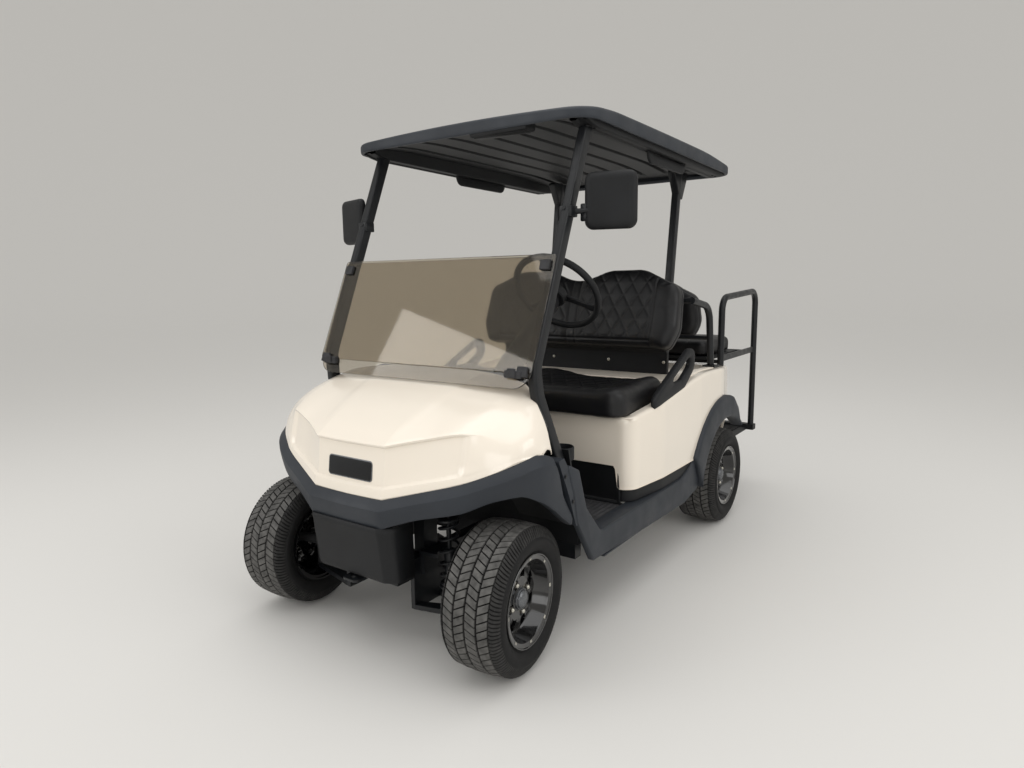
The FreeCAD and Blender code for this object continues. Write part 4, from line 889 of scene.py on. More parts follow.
def fascia_grid():
    """Half of the bumper band and wing: lower return, upright face, chamfer and the edge under the hood."""
    line, outward = nose_line()
    share = np.linspace(0, 1, len(line))
    proud = 22.0 * (1 - ease(0.78, 1.0, share) * 0.82)
    top, bottom = line[:, 2], line[:, 3]
    height = top - bottom
    chamfer = np.minimum(25.0, 0.3 * height)
    rows = [(proud * 0.7 - 26, bottom + 1), (proud * 0.7 - 5, bottom), (proud * 0.7 - 1, bottom + 1.2),
            (proud * 0.7, bottom + 4.5)]
    rows += [(proud * (0.7 + 0.3 * math.sin(t * math.pi / 2)), bottom + 4.5 + t * (height - 4.5 - chamfer - 6))
             for t in (0.25, 0.5, 0.75, 1.0)]
    rows += [(proud * 0.97, top - 5.2 - chamfer * 0.98), (proud * 0.55, top - 4.0 - chamfer * 0.5),
             (proud * 0.10, top - 3.0 - chamfer * 0.06), (-2, top - 3.0), (-4, top - 5.0), (-5, top - 16.0)]
    return plan_rings(line[:, :2], outward, rows)


def chin_parts():
    """Hollow box under the middle of the band, leaning back towards its foot: a rounded U in plan with a soft rim."""
    right = round_outline([(0, -216), (144, -216, 14), (182, -188, 24), (192, -110)], closed=False)
    line = np.concatenate([right[::-1], right[1:] * [-1, 1]])
    ahead = unit(np.gradient(line, axis=0))
    inward = np.stack([ahead[:, 1], -ahead[:, 0]], 1)
    inward *= np.sign(np.sum(inward * ([0, -100] - line), 1))[:, None]
    forward = np.outer((-110 - line[:, 1]) / 106, [0, 1])
    rows = ((272, 40), (263, 16), (262, 9), (264, 3), (269, 0.5), (276, 0), (330, 0), (380, 0), (425, 0), (446, 0))
    return [patch(np.concatenate([plan_rings(line + 26.0 * (452 - z) / 190 * forward, inward, [(depth, z)])
                                  for z, depth in rows]))]


class CART_OT_nose(bpy.types.Operator):
    """Builds the hood, the bumper band with its wings and chin, and the bare badge plate"""
    bl_idname = "cart.nose"
    bl_label = "Nose"

    def execute(self, context):
        wall = sizes().shell_wall
        build("moulded_hood", both_sides([patch(hood_grid(), flip=True)]), "shell", ["front_hood"], 28, "body_cream",
              wall=wall, merge=0.05)
        build("bumper_band", both_sides([patch(fascia_grid(), flip=True)]), "slate", ["front_fascia"], 28, "trim_slate",
              wall=wall, merge=0.05)
        build("bumper_chin", chin_parts(), "black", [], 28, "trim_slate", wall=wall, side=1.0, outward=True)
        outline = rectangle(-99, 99, -33, 33, 12, 6)
        for name, finish, grow, low, high in (("bare_badge_rim", "cap", 0, -7.0, 0.5),
                                              ("bare_badge", "black", 3.5, -3.0, 1.6)):
            points, faces = slab(inset(outline, grow), "y", -high, -low, 1.2, 2)
            build(name, [(lean(points, (0, 0), BADGE_TILT) + BADGE_PLACE, faces)], finish, [], 30, outward=True)
        return {"FINISHED"}


# Rear body
SIDE_TOP = np.array([(680, 667), (690, 667), (900, 698.6), (1100, 728), (1250, 750), (1330, 759), (1390, 763.5),
                     (1450, 765), (1550, 762), (1700, 756), (1890, 743), (1905, 742)], float)
WELL_BACK_Y = 1198.0
WELL_FLOOR_Z = 664.0
SHELL_FOOT = 391.0
ARCH_CENTRE = (1664.0, 175.0)
FLARE_CENTRE = (1640.0, 180.0)
BODY_BACK_Y = 1895.0


def body_outline(spacing=9.0):
    """Plan of the rear body as evenly spaced points, from the tail round the driver's side and back."""
    half = [(0, 690), (555, 690, 60), (584, 930, 300), (590, 1330, 500), (586, 1650, 500), (528, BODY_BACK_Y, 70),
            (0, BODY_BACK_Y)]
    line = round_outline(half, 0, 10, closed=False)
    right = even_points(line, int(run_of(line)[-1] / spacing))
    return np.concatenate([right, right[-2:0:-1] * [-1, 1]])


def side_top(y):
    return np.interp(y, SIDE_TOP[:, 0], SIDE_TOP[:, 1])


def body_low(x, y):
    """Lower edge of the shell: level, raised over the doorway and the tail, and hidden under the flare at the wheel."""
    low = np.full(len(x), SHELL_FOOT)
    door = (1 - ease(484, 500, np.abs(x))) * (1 - ease(700, 720, y))
    tail = (1 - ease(428, 446, np.abs(x))) * ease(1860, 1880, y)
    low = low + door * 89 + tail * 229
    away = np.clip(392.0 ** 2 - (y - FLARE_CENTRE[0]) ** 2, 0, None)
    arch = FLARE_CENTRE[1] + np.sqrt(away)
    side = ease(500, 540, np.abs(x))
    return np.maximum(low, side * np.where(away > 0, arch, 0) + (1 - side) * low)


def inward_of(outline):
    return unit(inset(outline, 1.0) - outline)


def body_skin():
    """Rings of the plan outline from the lower return up the side, over a rounded edge and down into the seat well."""
    plan = body_outline()
    inward = inward_of(plan)
    x, y = plan.T
    low, top = body_low(x, y), side_top(y)
    edge = 15.0
    rows = [(14.0, low), (2.0, low), (0.0, low + 2.5)]
    for t in np.linspace(0.0, 1.0, 16):
        z = low + 2.5 + (top - edge - low - 2.5) * t
        rows.append((3.0 - 3.0 * np.sin(np.pi * np.clip((z - SHELL_FOOT) / (top - SHELL_FOOT), 0, 1)), z))
    turn = np.linspace(0.15, math.pi / 2, 7)
    rows += [(3.0 + edge * (1 - math.cos(a)), top - edge * (1 - math.sin(a))) for a in turn]
    well = (1 - ease(WELL_BACK_Y - 12, WELL_BACK_Y + 6, y)) * (y > 720)
    rows += [(30.0, top + 0.5), (41.0, top), (44.0, top - 3.0 * well),
             (45.0 + 2 * well, top - well * (top - WELL_FLOOR_Z))]
    return [patch(plan_rings(plan, inward, rows), close_cols=True)]


def body_decks():
    """Deck behind the well, the well's rear wall and its closed floor."""
    def sheet(half, y, z):
        half, y, z = (np.reshape(numbers, (-1, 1)) for numbers in (half, y, z))
        return np.stack(np.broadcast_arrays(half * x, y, z), -1)

    x = np.linspace(-1, 1, 25)
    y = np.concatenate([[WELL_BACK_Y, WELL_BACK_Y + 3], np.linspace(WELL_BACK_Y + 12, BODY_BACK_Y - 20, 40)])
    z = side_top(y)
    z[0] -= 3
    deck = sheet(np.interp(y, [1200, 1650, 1780, 1880], [549, 545, 500, 440]), y, z)
    wall = sheet(550, WELL_BACK_Y, [WELL_FLOOR_Z, 700.0, side_top(WELL_BACK_Y) - 3])
    floor = sheet(548, [702.0, 760.0, 1100.0, WELL_BACK_Y], WELL_FLOOR_Z + 0.5)
    return [patch(deck, flip=True), patch(wall), patch(floor, flip=True)]


# Rear wheel arch lips: corners that cut the ring, as y from the rear axle and z
FLARE_CORNERS = np.array([(-414, 386), (-396, 386), (-346, 292), (-332, 250), (216, 255), (216, 440), (176, 540),
                          (96, 612), (51, 640), (-104, 700), (-464, 700)], float)
FLARE_INNER = 341.0
# Section of the lip: share of its width with x over the face, then radius with x round the rim and the flange
FLARE_FACE = ((1.0, 574), (1.0, 587), (1.0, 591), (0.985, 596), (0.955, 601.5), (0.91, 604.5), (0.8, 606.5),
              (0.6, 608.6), (0.4, 609.2), (0.22, 608.4))
FLARE_EDGE = ((352.0, 609.0), (346.5, 607.5), (342.6, 604.0), (341.2, 599.0), (341.0, 590.0), (341.0, 570.0),
              (341.0, 552.0))


def inside_polygon(points, corners):
    """Even-odd test of points (…, 2) against a closed polygon."""
    hit = np.zeros(points.shape[:-1], bool)
    for (x0, y0), (x1, y1) in zip(corners, np.roll(corners, -1, 0)):
        cross = (y0 > points[..., 1]) != (y1 > points[..., 1])
        rise = (y1 - y0) if y1 != y0 else 1e-9
        hit ^= cross & (points[..., 0] < (x1 - x0) * (points[..., 1] - y0) / rise + x0)
    return hit


def flare_grid():
    """Half ring of the lip by angle about the wheel: outer edge on the body, crowned face, round rim, inward flange."""
    angle = np.radians(np.linspace(166.5, 50.6, 150))
    ray = np.stack([np.cos(angle), np.sin(angle)], 1)
    reach = np.linspace(FLARE_INNER + 1, 480, 277)
    points = np.array([0, ARCH_CENTRE[1]]) + ray[:, None] * reach[None, :, None]
    away = np.hypot(points[..., 0] + 24, points[..., 1] - 180) < 445
    good = inside_polygon(points, FLARE_CORNERS) & away
    last = np.where(good.any(1), reach[np.argmax(np.cumsum(good, 1) * good, 1)], FLARE_INNER + 3)
    outer = np.convolve(np.pad(last, 2, mode="edge"), np.array([1, 2, 3, 2, 1]) / 9, "valid")
    rows = [(FLARE_INNER + (outer - FLARE_INNER) * share, x) for share, x in FLARE_FACE]
    rows += [(np.minimum(radius, outer), x) for radius, x in FLARE_EDGE]
    return np.array([np.stack([np.full(len(r), x), ARCH_CENTRE[0] + ray[:, 0] * r, ARCH_CENTRE[1] + ray[:, 1] * r], 1)
                     for r, x in rows])


def rocker_parts():
    """Front post and sill: its side outline with rounded rims, a scooped step along the top and a rolled hem."""
    side = [(228, 416, 12), (336, 251, 16), (720, 236, 60), (1158, 222, 30), (1318, 250, 20), (1322, 292, 12),
            (1262, 398, 12), (1180, 356, 60), (1110, 340, 60), (392, 340, 40), (290, 450, 60), (241, 587, 12),
            (163, 625, 12), (206, 520, 30)]
    return [slab(round_outline(side, 0, 10), "x", 566, 588, 2.0, 3, 7.0),
            slab(rectangle(400, 1150, 318, 341, 3, 3), "x", 522, 580, 1.5, 2),
            block(560, 584, 420, 1180, 236, 243, 1.5, 2)]


class CART_OT_body(bpy.types.Operator):
    """Builds the rear body shell, its decks, the wheel arch lips and the sills"""
    bl_idname = "cart.body"
    bl_label = "Body"

    def execute(self, context):
        build("rear_body_shell", body_skin(), "shell", ["rear_body"], slot="body_cream", wall=sizes().shell_wall)
        build("rear_body_decks", body_decks(), "shell", slot="body_cream", wall=3 * MM, merge=0.05)
        build("wheel_arch_lips", both_sides([patch(flare_grid(), flip=True)]), "slate", ["rear_flares"],
              slot="trim_slate", wall=3 * MM)
        left = rocker_parts()
        for name, parts in (("left", left), ("right", [mirror_patch(p) for p in left])):
            build("sill_" + name, parts, "slate", ["rocker_" + name], 30, "trim_slate", outward=True)
        return {"FINISHED"}


# Seats
SEAT_DECK_Z = 667.3
CUSHION_TOP = SEAT_DECK_Z + 95
VOXEL = 9.0
PRESSURE = 4.0
SETTLE_FRAMES = 20


def backrest_outline(half, bottom, top, dip):
    """Double humped front view of a back pad, closed."""
    crest = half * 0.52
    side_z = bottom + 0.25 * (top - bottom)
    points = [(-half + 40, bottom, 50), (half - 40, bottom, 50), (half, side_z, 120), (half - 12, top - 90, 80),
              (crest + 60, top, 150), (crest - 120, top, 150), (0, top - dip * 1.15, 200), (-crest + 120, top, 150),
              (-crest - 60, top, 150), (-half + 12, top - 90, 80), (-half, side_z, 120)]
    return round_outline(points, 0, 10)


def lean(points, foot, angle):
    """Turns points about the X axis through the foot; a positive angle carries the top to the rear."""
    out = np.array(points, float)
    y, z = out[:, 1] - foot[0], out[:, 2] - foot[1]
    out[:, 1] = foot[0] + y * math.cos(angle) + z * math.sin(angle)
    out[:, 2] = foot[1] + z * math.cos(angle) - y * math.sin(angle)
    return out


def vertices(mesh):
    flat = np.zeros(len(mesh.vertices) * 3)
    mesh.vertices.foreach_get("co", flat)
    return flat.reshape(-1, 3)


def put_vertices(mesh, points):
    mesh.vertices.foreach_set("co", points.ravel())
    mesh.update()


def puffed(piece, cap):
    """Fills a closed form like a stuffed cover: voxel remesh, pressure cloth, movement capped to that many
    millimetres, result applied and subdivided once."""
    mod = piece.modifiers.new("remesh", "REMESH")
    mod.mode = "VOXEL"
    mod.voxel_size = VOXEL * MM
    apply_modifiers(piece)
    before = vertices(piece.data)
    cloth = piece.modifiers.new("cloth", "CLOTH")
    cloth.settings.use_pressure = True
    cloth.settings.uniform_pressure_force = PRESSURE
    cloth.settings.effector_weights.gravity = 0.0
    cloth.settings.quality = 4
    cloth.collision_settings.use_collision = False
    scene = bpy.context.scene
    for number in range(1, SETTLE_FRAMES + 1):
        scene.frame_set(number)
    apply_modifiers(piece)
    scene.frame_set(1)
    move = vertices(piece.data) - before
    share = np.minimum(1.0, cap * MM / np.maximum(np.linalg.norm(move, axis=1), 1e-9))
    put_vertices(piece.data, before + move * share[:, None])
    mod = piece.modifiers.new("smooth", "SUBSURF")
    mod.levels = mod.render_levels = 1
    apply_modifiers(piece)
    piece.data.shade_smooth()


def seam_depth(away, width):
    """Depth of a sewn channel: a bell curve of the distance from its line."""
    return np.exp(-(away / width) ** 2)


def diamond_seam(a, b, wide, high):
    """Distance in millimetres to the nearest of two families of slanting lines that cut a plane into diamonds."""
    slope = math.hypot(1 / wide, 1 / high)
    first, second = a / wide + b / high, a / wide - b / high
    away = [np.abs(f - np.round(f)) / slope for f in (first, second)]
    return np.minimum(*away)


def quilt(a, b, inside):
    """Height of the quilted panel: pillowed diamonds between sunk seams, faded out where inside falls to 0."""
    wide, high = sizes().diamond_width / MM, sizes().diamond_height / MM
    away = diamond_seam(a, b, wide, high)
    pillow = 1 - np.clip(1 - away / (0.5 / math.hypot(1 / wide, 1 / high)), 0, 1) ** 2
    return inside * sizes().quilt_depth / MM * (0.75 * pillow - 1.0 * seam_depth(away, 3.0))


def panel(x, y, inner, outer, front, rear, fade=10, end_fade=10):
    """1 on a quilted panel between those edges of |x| and y, easing to 0 towards them."""
    return (ease(0, fade, outer - np.abs(x)) * ease(0, fade, np.abs(x) - inner)
            * ease(0, end_fade, y - front) * ease(0, end_fade, rear - y))


def front_cushion(p):
    """Front cushion: two quilted places with smooth bolsters between and outside, and a seam at the front edge."""
    x, y, z = p.T
    facing = ease(CUSHION_TOP - 34, CUSHION_TOP - 12, z)
    rear = ease(740, 1000, y)
    bolster = (8 + 6 * rear) * np.exp(-((np.abs(x) - 478) / 42) ** 2) + 5 * np.exp(-((y - 676) / 40) ** 2)
    bolster = bolster + 20 * rear * np.exp(-(x / 110) ** 2)
    dish = -8 * np.exp(-((np.abs(x) - 262) / 150) ** 4) * np.exp(-((y - 880) / 190) ** 4)
    seams = seam_depth(np.abs(np.abs(x) - 402), 4.5) * ease(0, 20, y - 690)
    seams = np.maximum(seams, seam_depth(y - 706, 4.5) * (np.abs(x) < 402))
    seams = np.maximum(seams, seam_depth(x, 5.0))
    height = bolster + dish - 4.5 * seams + quilt(np.abs(x) - 222, y - 890, panel(x, y, 46, 398, 712, 1080))
    p[:, 2] = np.clip(z + facing * height, SEAT_DECK_Z, CUSHION_TOP + 27)
    p[:, 0] = np.clip(p[:, 0], -545, 545)
    p[:, 1] = np.clip(p[:, 1], 636, 1104)
    return p


def rear_cushion(p):
    """Rear cushion: two quilted places with a seam along their outer and rear edges."""
    x, y, z = p.T
    seams = np.maximum(seam_depth(np.abs(x) - 346, 4.5), seam_depth(y - 2112, 4.5) * (np.abs(x) < 346))
    height = -4.5 * seams + quilt(np.abs(x) - 185, y - 1960, panel(x, y, 30, 340, 1815, 2105))
    p[:, 2] = np.clip(z + ease(840, 862, z) * height, 792.4, 884)
    return p


# Backs, in cart millimetres: half width, lower edge, crest, dip between the humps, thickness, y of the front face,
# y and z of the foot it leans about, lean in degrees, and the side its quilted face looks to, -1 forwards
FRONT_BACK = (530, 878, 1264, 52, 105, 1165.0, (1165.0, 878.0), 16.0, -1.0)
REAR_BACK = (470, 880, 1180, 40, 90, 1634.6, (1634.6, 880.0), -6.0, 1.0)


def back_form(back):
    """Closed form of a back pad, a little smaller than its outline to leave room for the stuffing."""
    half, bottom, top, dip, thick, front_y, foot, degrees, _ = back
    shrink = 7.0
    outline = inset(backrest_outline(half, bottom, top, dip), shrink)
    points, faces = slab(outline, "y", front_y + shrink, front_y + thick - shrink * 0.6, 26, 6, 18)
    return [(lean(points, foot, math.radians(degrees)), faces)]


def shape_back(p, back):
    """Back pad: quilting on the middle of each hump, seams that part it from the bolsters, and a side welt."""
    half, bottom, top, _, thick, front_y, foot, degrees, side = back
    p = lean(p, foot, -math.radians(degrees))
    x, y, z = p.T
    depth_in = (y - front_y) if side < 0 else (front_y + thick - y)
    size = half / 530.0
    middle_z, half_high = bottom + 0.5 * (top - bottom), 0.5 * (top - bottom)
    inside = ease(0, 12, 392 * size - np.abs(x)) * ease(0, 12, np.abs(x) - 34 * size)
    inside = inside * ease(0, 14, z - (bottom + 52)) * ease(0, 14, (top - 22) - z)
    seams = seam_depth(np.abs(np.abs(x) - 398 * size - 0.03 * (z - bottom)), 4.0)
    seams = np.maximum(seams, seam_depth(np.abs(x) - 22 * size, 4.0) * 0.8)
    seams = np.maximum(seams, seam_depth(z - (bottom + 44), 4.0) * (np.abs(x) < 400 * size))
    valley = -10 * np.exp(-(x / (60 * size)) ** 2)
    dish = -7 * np.exp(-((np.abs(x) - 215 * size) / (150 * size)) ** 4)
    raised = -5.0 * seams + quilt(np.abs(x) - 215 * size, z - middle_z, inside) + dish + valley
    p[:, 1] = y + side * (1 - ease(22, 44, depth_in)) * raised
    welt = seam_depth(depth_in - 62 * size, 3.5) * 3.5
    away = np.stack([x / half, (z - middle_z) / half_high], 1)
    edge = ease(0.72, 0.95, np.linalg.norm(away, axis=1))
    away /= np.maximum(np.linalg.norm(away, axis=1), 1e-6)[:, None]
    p[:, (0, 2)] -= away * (welt * edge)[:, None]
    return lean(p, foot, math.radians(degrees))


def stuffed(name, parts, cap, node, shape, body="chassis"):
    """One cushion or back: its closed form stuffed, its vertices shaped and dressed."""
    piece = make_mesh(name, parts, 60, outward=True)
    puffed(piece, cap)
    origin = np.array([0, FRONT_AXLE_Y, 0])
    put_vertices(piece.data, to_frame(shape((vertices(piece.data) - origin) / MM)))
    dress(piece, FINISHES["vinyl"], body, [node])


class CART_OT_seats(bpy.types.Operator):
    """Builds the stuffed and quilted cushions and backs of both benches"""
    bl_idname = "cart.seats"
    bl_label = "Seats"

    def execute(self, context):
        cushion = slab(rectangle(-530, 530, 650, 1092, (66, 50), 10), "z", SEAT_DECK_Z + 2, CUSHION_TOP, 10, 4, 34)
        stuffed("front_cushion", [cushion], 9.0, "seat_cushion", front_cushion, "seat_base")
        stuffed("front_back", back_form(FRONT_BACK), 10.0, "seat_back", lambda p: shape_back(p, FRONT_BACK))
        stuffed("rear_back_pad", back_form(REAR_BACK), 8.0, "rear_back", lambda p: shape_back(p, REAR_BACK))
        cushion = slab(rectangle(-457, 457, 1768, 2177, (44, 60), 10), "z", 796, 870, 10, 4, 26)
        stuffed("rear_cushion_pad", [cushion], 8.0, "rear_cushion", rear_cushion, "rear_flip")
        return {"FINISHED"}


# Dash, floor and fittings
DASH_HALF = 385.0
MAT_EDGES = (520, 400, 688)  # half width, front and rear
RIB_PITCH = 20.0
SPRING_TURNS = 6
UPRIGHT = (0, 0, 1)


def dash_parts():
    """Dash: one side outline carried across, shallower towards its ends, with two open bins let into its face."""
    side = [(268, 640), (268, 842, 18), (300, 868, 10), (352, 850, 22), (372, 760, 20), (352, 640, 20)]
    side = round_outline(side, 0, 8)
    y, z = even_points(side, 140, closed=True).T[:, None]
    x = np.linspace(-DASH_HALF, DASH_HALF, 193)[:, None]
    full = ease(0, 70, DASH_HALF - np.abs(x))
    deep = 268 + (y - 268) * (0.62 + 0.38 * full)
    high = z - 16 * (1 - full) * ease(640, 860, z)
    bins = np.maximum(ease(-350, -342, x) * (1 - ease(-68, -60, x)), ease(60, 66, x) * (1 - ease(124, 130, x)))
    bins = bins * ease(688, 695, z) * (1 - ease(795, 802, z)) * ease(332, 346, y)
    grid = np.stack([np.broadcast_to(x, deep.shape), deep - 48 * bins, high], -1)
    return [patch(grid, close_cols=True, caps=(0, -1))]


def cup_ring_parts():
    """Open cup holder at the dash's end: a turned pot with a rounded rim, and the bracket to the toe board."""
    profile = [(0, 0), (0, 37), (1.5, 40), (5, 42), (42, 42), (45, 41), (46, 39.5), (45, 38), (42, 37.5), (6, 36),
               (5, 0)]
    return [turned(profile, (475, 318, 588), UPRIGHT), block(455, 495, 262, 290, 594, 628, 3, 4)]


def spring_parts():
    """Coil-over unit: stepped damper with an eye at each end, two spring seats and six turns of round wire."""
    foot, head = np.array([252, 0, 149.2]), np.array([243, 0, 479.2])
    length = np.linalg.norm(head - foot)
    axis = unit(head - foot)
    damper = [(8, 0), (8, 13), (34, 15), (38, 19), (180, 19), (184, 16), (186, 8), (length - 10, 8), (length - 10, 0)]
    parts = [turned(damper, foot, axis, 24)]
    for at, wide in ((58, 36), (length - 52, 34)):
        parts.append(turned([(at, 0), (at, wide), (at + 2, wide + 2), (at + 7, wide + 2), (at + 9, wide), (at + 9, 0)],
                            foot, axis, 28))
    for end in (foot, head):
        parts.append(turned([(-16, 0), (-16, 13), (-14, 15), (14, 15), (16, 13), (16, 0)], end, (0, 1, 0), 20))
    whole = 2 * math.pi * SPRING_TURNS
    angle = np.linspace(0, whole, 28 * SPRING_TURNS + 1)
    side = unit(np.cross(axis, (0, 1.0, 0)))
    across = np.cross(axis, side)
    rise = np.interp(angle, [0, math.pi, whole - math.pi, whole], [72, 76, length - 62, length - 57])
    coil = foot + rise[:, None] * axis + 30 * (np.cos(angle)[:, None] * side + np.sin(angle)[:, None] * across)
    parts.append(sweep(round_section(4.5, 10), coil, up=axis))
    return parts


def mat_grid():
    """Rubber mat: a sheet with rounded ribs along the cart every 20 mm, level at its border."""
    half, front, rear = MAT_EDGES
    y = [front, front + 1.5, front + 4, *np.linspace(front + 12, rear - 12, 9), rear - 4, rear - 1.5, rear]
    gx, gy = np.meshgrid(np.linspace(-half, half, 521), y)
    from_side, from_end = half - np.abs(gx), np.minimum(gy - front, rear - gy)
    edge = np.minimum(ease(0, 14, from_side), ease(0, 12, from_end))
    rib = np.clip(np.cos(gx / RIB_PITCH * 2 * math.pi) * 1.6 + 0.4, 0, 1)
    rim = ease(0, 3, np.minimum(from_side, from_end))
    return np.stack([gx, gy, 331.0 + 3.4 * rim + 2.4 * rib * edge], -1)


def ledge_parts():
    """Dark strip between the shell's lower edge and the sill, which follows the body's plan round its front corner. Its
    black finish is painted shade: the strip's own colour is a dark slate, and it is painted black for the shade under
    the shell's lower edge.
    """
    plan = body_outline()
    inward = inward_of(plan)
    keep = (plan[:, 0] > 503) & (plan[:, 1] < 1236)
    rows = ((34, 342.0), (12, 342.0), (9, 345.0), (9, 386.0), (11, 396.0))
    return [patch(plan_rings(plan[keep], inward[keep], rows))]


def kick_parts():
    """Black panel below the seat front: a shallow tray with a rolled rim whose outer corners are rounded."""
    outline = round_outline([(-508, 331, 6), (508, 331, 6), (502, 492, 26), (-502, 492, 26)], 0, 8)
    rows = ((0, 700), (0, 694), (1.5, 691.5), (5, 691), (9, 692), (12, 696), (16, 698))
    return [shrunk_rings(outline, "y", rows)]


def fitting_parts():
    """Bolts of the foot trims, latches at the folded pane's lower edge and the screws of the seat back panel."""
    feet = []
    for y, z in ((204, 493), (158, 584)):
        feet += hex_bolt((584.5, y, z), (1, 0, 0), 9, 3.5, 7)
    screws = []
    for x in (-424, -150, 150, 424):
        screws += dome_screw((x, 1292, 812), (0, -1, 0), 7.5, 4)
    latches = []
    for a, b in ((-452, -388), (388, 452)):
        latches.append(block(a, b, 112, 140, 882, 906, 3, 5))
        latches.append(block(a + 18, b - 18, 106, 114, 886, 914, 2.5, 3))
    return feet, latches, screws


def cowl_seal():
    """Rubber lip along the hood's rear edge, from side to side."""
    edge = hood_grid()[-3]
    edge = edge[edge[:, 0] < 532]
    line = np.vstack([edge[:0:-1] * [-1, 1, 1], edge])
    return [sweep(box_section(12, 16, 5), even_points(line, 120) + np.array([0, 7.0, -7.0]), up=(0, 1, 0.4))]


class CART_OT_fittings(bpy.types.Operator):
    """Builds the dash, cup holders, coil springs, floor mat, body strip, kick panel, latches and seals"""
    bl_idname = "cart.fittings"
    bl_label = "Dash, floor and fittings"

    def execute(self, context):
        feet, latches, screws = fitting_parts()
        sheet = 2 * MM
        for name, parts, finish, nodes, sharp, wall in (
                ("dash", dash_parts(), "black", ["dash_panel"], 40, 0),
                ("cup_holders", both_sides(cup_ring_parts()), "black", ["cup_rings"], 40, 0),
                ("coil_overs", both_sides(spring_parts()), "powder", ["front_shocks"], 40, 0),
                ("ribbed_mat", [patch(mat_grid())], "rubber", ["floor_mat"], 50, sheet),
                # The body strip's black finish is painted shade for the shade under the shell.
                ("body_strip", both_sides(ledge_parts()), "black", [], 40, sheet),
                ("kick_tray", kick_parts(), "black", ["kick_panel"], 40, 0),
                ("foot_trim_bolts", both_sides(feet), "powder", [], 30, 0),
                ("pane_latches", latches, "rubber", [], 30, 0),
                ("back_panel_screws", screws, "zinc", [], 30, 0),
                ("cowl_seal", cowl_seal(), "rubber", [], 40, 0)):
            build(name, parts, finish, nodes, sharp, wall=wall, outward=not wall)
        return {"FINISHED"}


# Roof
ROOF_ENDS = (376.0, 1826.0)
ROOF_HALF = 540.0
ROOF_STATIONS = np.array([(356, 1722, 1738), (620, 1738, 1752), (1400, 1732, 1748), (1846, 1704, 1720)], float)

# The canopy's hem: depth from the outline, and height above the rim's line
CANOPY_HEM = ((26, 12.0), (17, 4.0), (9, 0.5), (3, 1.0), (0.8, 4.0), (0.0, 9.0))
# Gutter inside the canopy's rim: depth from the outline, and drop below the crown's surface
CANOPY_EDGE = ((0.0, 13.0), (1.5, 8.0), (4.5, 4.5), (9, 2.0), (16, 0.8), (30, 0.4), (34, 1.2), (37, 4.2), (44, 5.0),
               (51, 4.2), (54, 1.0), (60, -0.4))
LINER_HALF = 505.0
LINER_CORNER = 70.0


def roof_top(x, y):
    """Crown of the canopy: an arch across, whose shoulders and middle follow the stations lengthwise."""
    shoulder, crown = (curve_through(ROOF_STATIONS[:, 0], ROOF_STATIONS[:, i], y) for i in (1, 2))
    return shoulder + (crown - shoulder) * (1 - (x / 570.0) ** 2)


def roof_rim(y):
    return np.interp(y, [326, 1876], [1692, 1668])


def roof_plan():
    return even_points(rectangle(-ROOF_HALF, ROOF_HALF, *ROOF_ENDS, 95.0, 14), 360, closed=True)


def towards_spine(plan, share):
    """Points that far along the way from the plan outline to the roof's middle line."""
    spine = np.stack([np.zeros(len(plan)), np.clip(plan[:, 1], ROOF_ENDS[0] + 500, ROOF_ENDS[1] - 500)], 1)
    return plan + (spine - plan) * share


def canopy_grid():
    """Rounded rim, a shallow gutter inside it, then the crown up to the middle line."""
    plan = roof_plan()
    lines = [(inset(plan, depth), low) for depth, low in CANOPY_HEM]
    rings = [np.column_stack([line, roof_rim(line[:, 1]) + low]) for line, low in lines]
    lines = [(inset(plan, depth), drop) for depth, drop in CANOPY_EDGE]
    start = inset(plan, CANOPY_EDGE[-1][0])
    lines += [(towards_spine(start, share), CANOPY_EDGE[-1][1]) for share in np.linspace(0.06, 1.0, 16)]
    rings += [np.column_stack([line, roof_top(*line.T) - drop]) for line, drop in lines]
    return np.array(rings)


def liner_parts():
    """Black underside: a sheet with rounded corners, lengthwise grooves and a raised border."""
    middle_y = sum(ROOF_ENDS) / 2
    half_long = middle_y - ROOF_ENDS[0] - 34
    gx, gy = np.meshgrid(np.linspace(-LINER_HALF, LINER_HALF, 405), np.linspace(-half_long, half_long, 60))
    in_x, in_y = LINER_HALF - LINER_CORNER, half_long - LINER_CORNER
    over = np.hypot(np.clip(np.abs(gx) - in_x, 0, None), np.clip(np.abs(gy) - in_y, 0, None))
    shrink = np.minimum(1.0, LINER_CORNER / np.maximum(over, 1e-6))
    gx, gy = (np.where(over > LINER_CORNER, np.sign(g) * (within + (np.abs(g) - within) * shrink), g)
              for g, within in ((gx, in_x), (gy, in_y)))
    gy = gy + middle_y
    z = roof_top(gx.ravel(), gy.ravel()).reshape(gx.shape)
    groove = np.zeros_like(z)
    for centre in range(-366, 367, 122):
        groove = np.maximum(groove, 1 - ease(9, 15, np.abs(gx - centre)))
    groove = groove * ease(470, 500, gy) * (1 - ease(1700, 1730, gy)) * (np.abs(gx) < 410)
    return [patch(np.stack([gx, gy, z - 26 + 15 * groove], -1))]


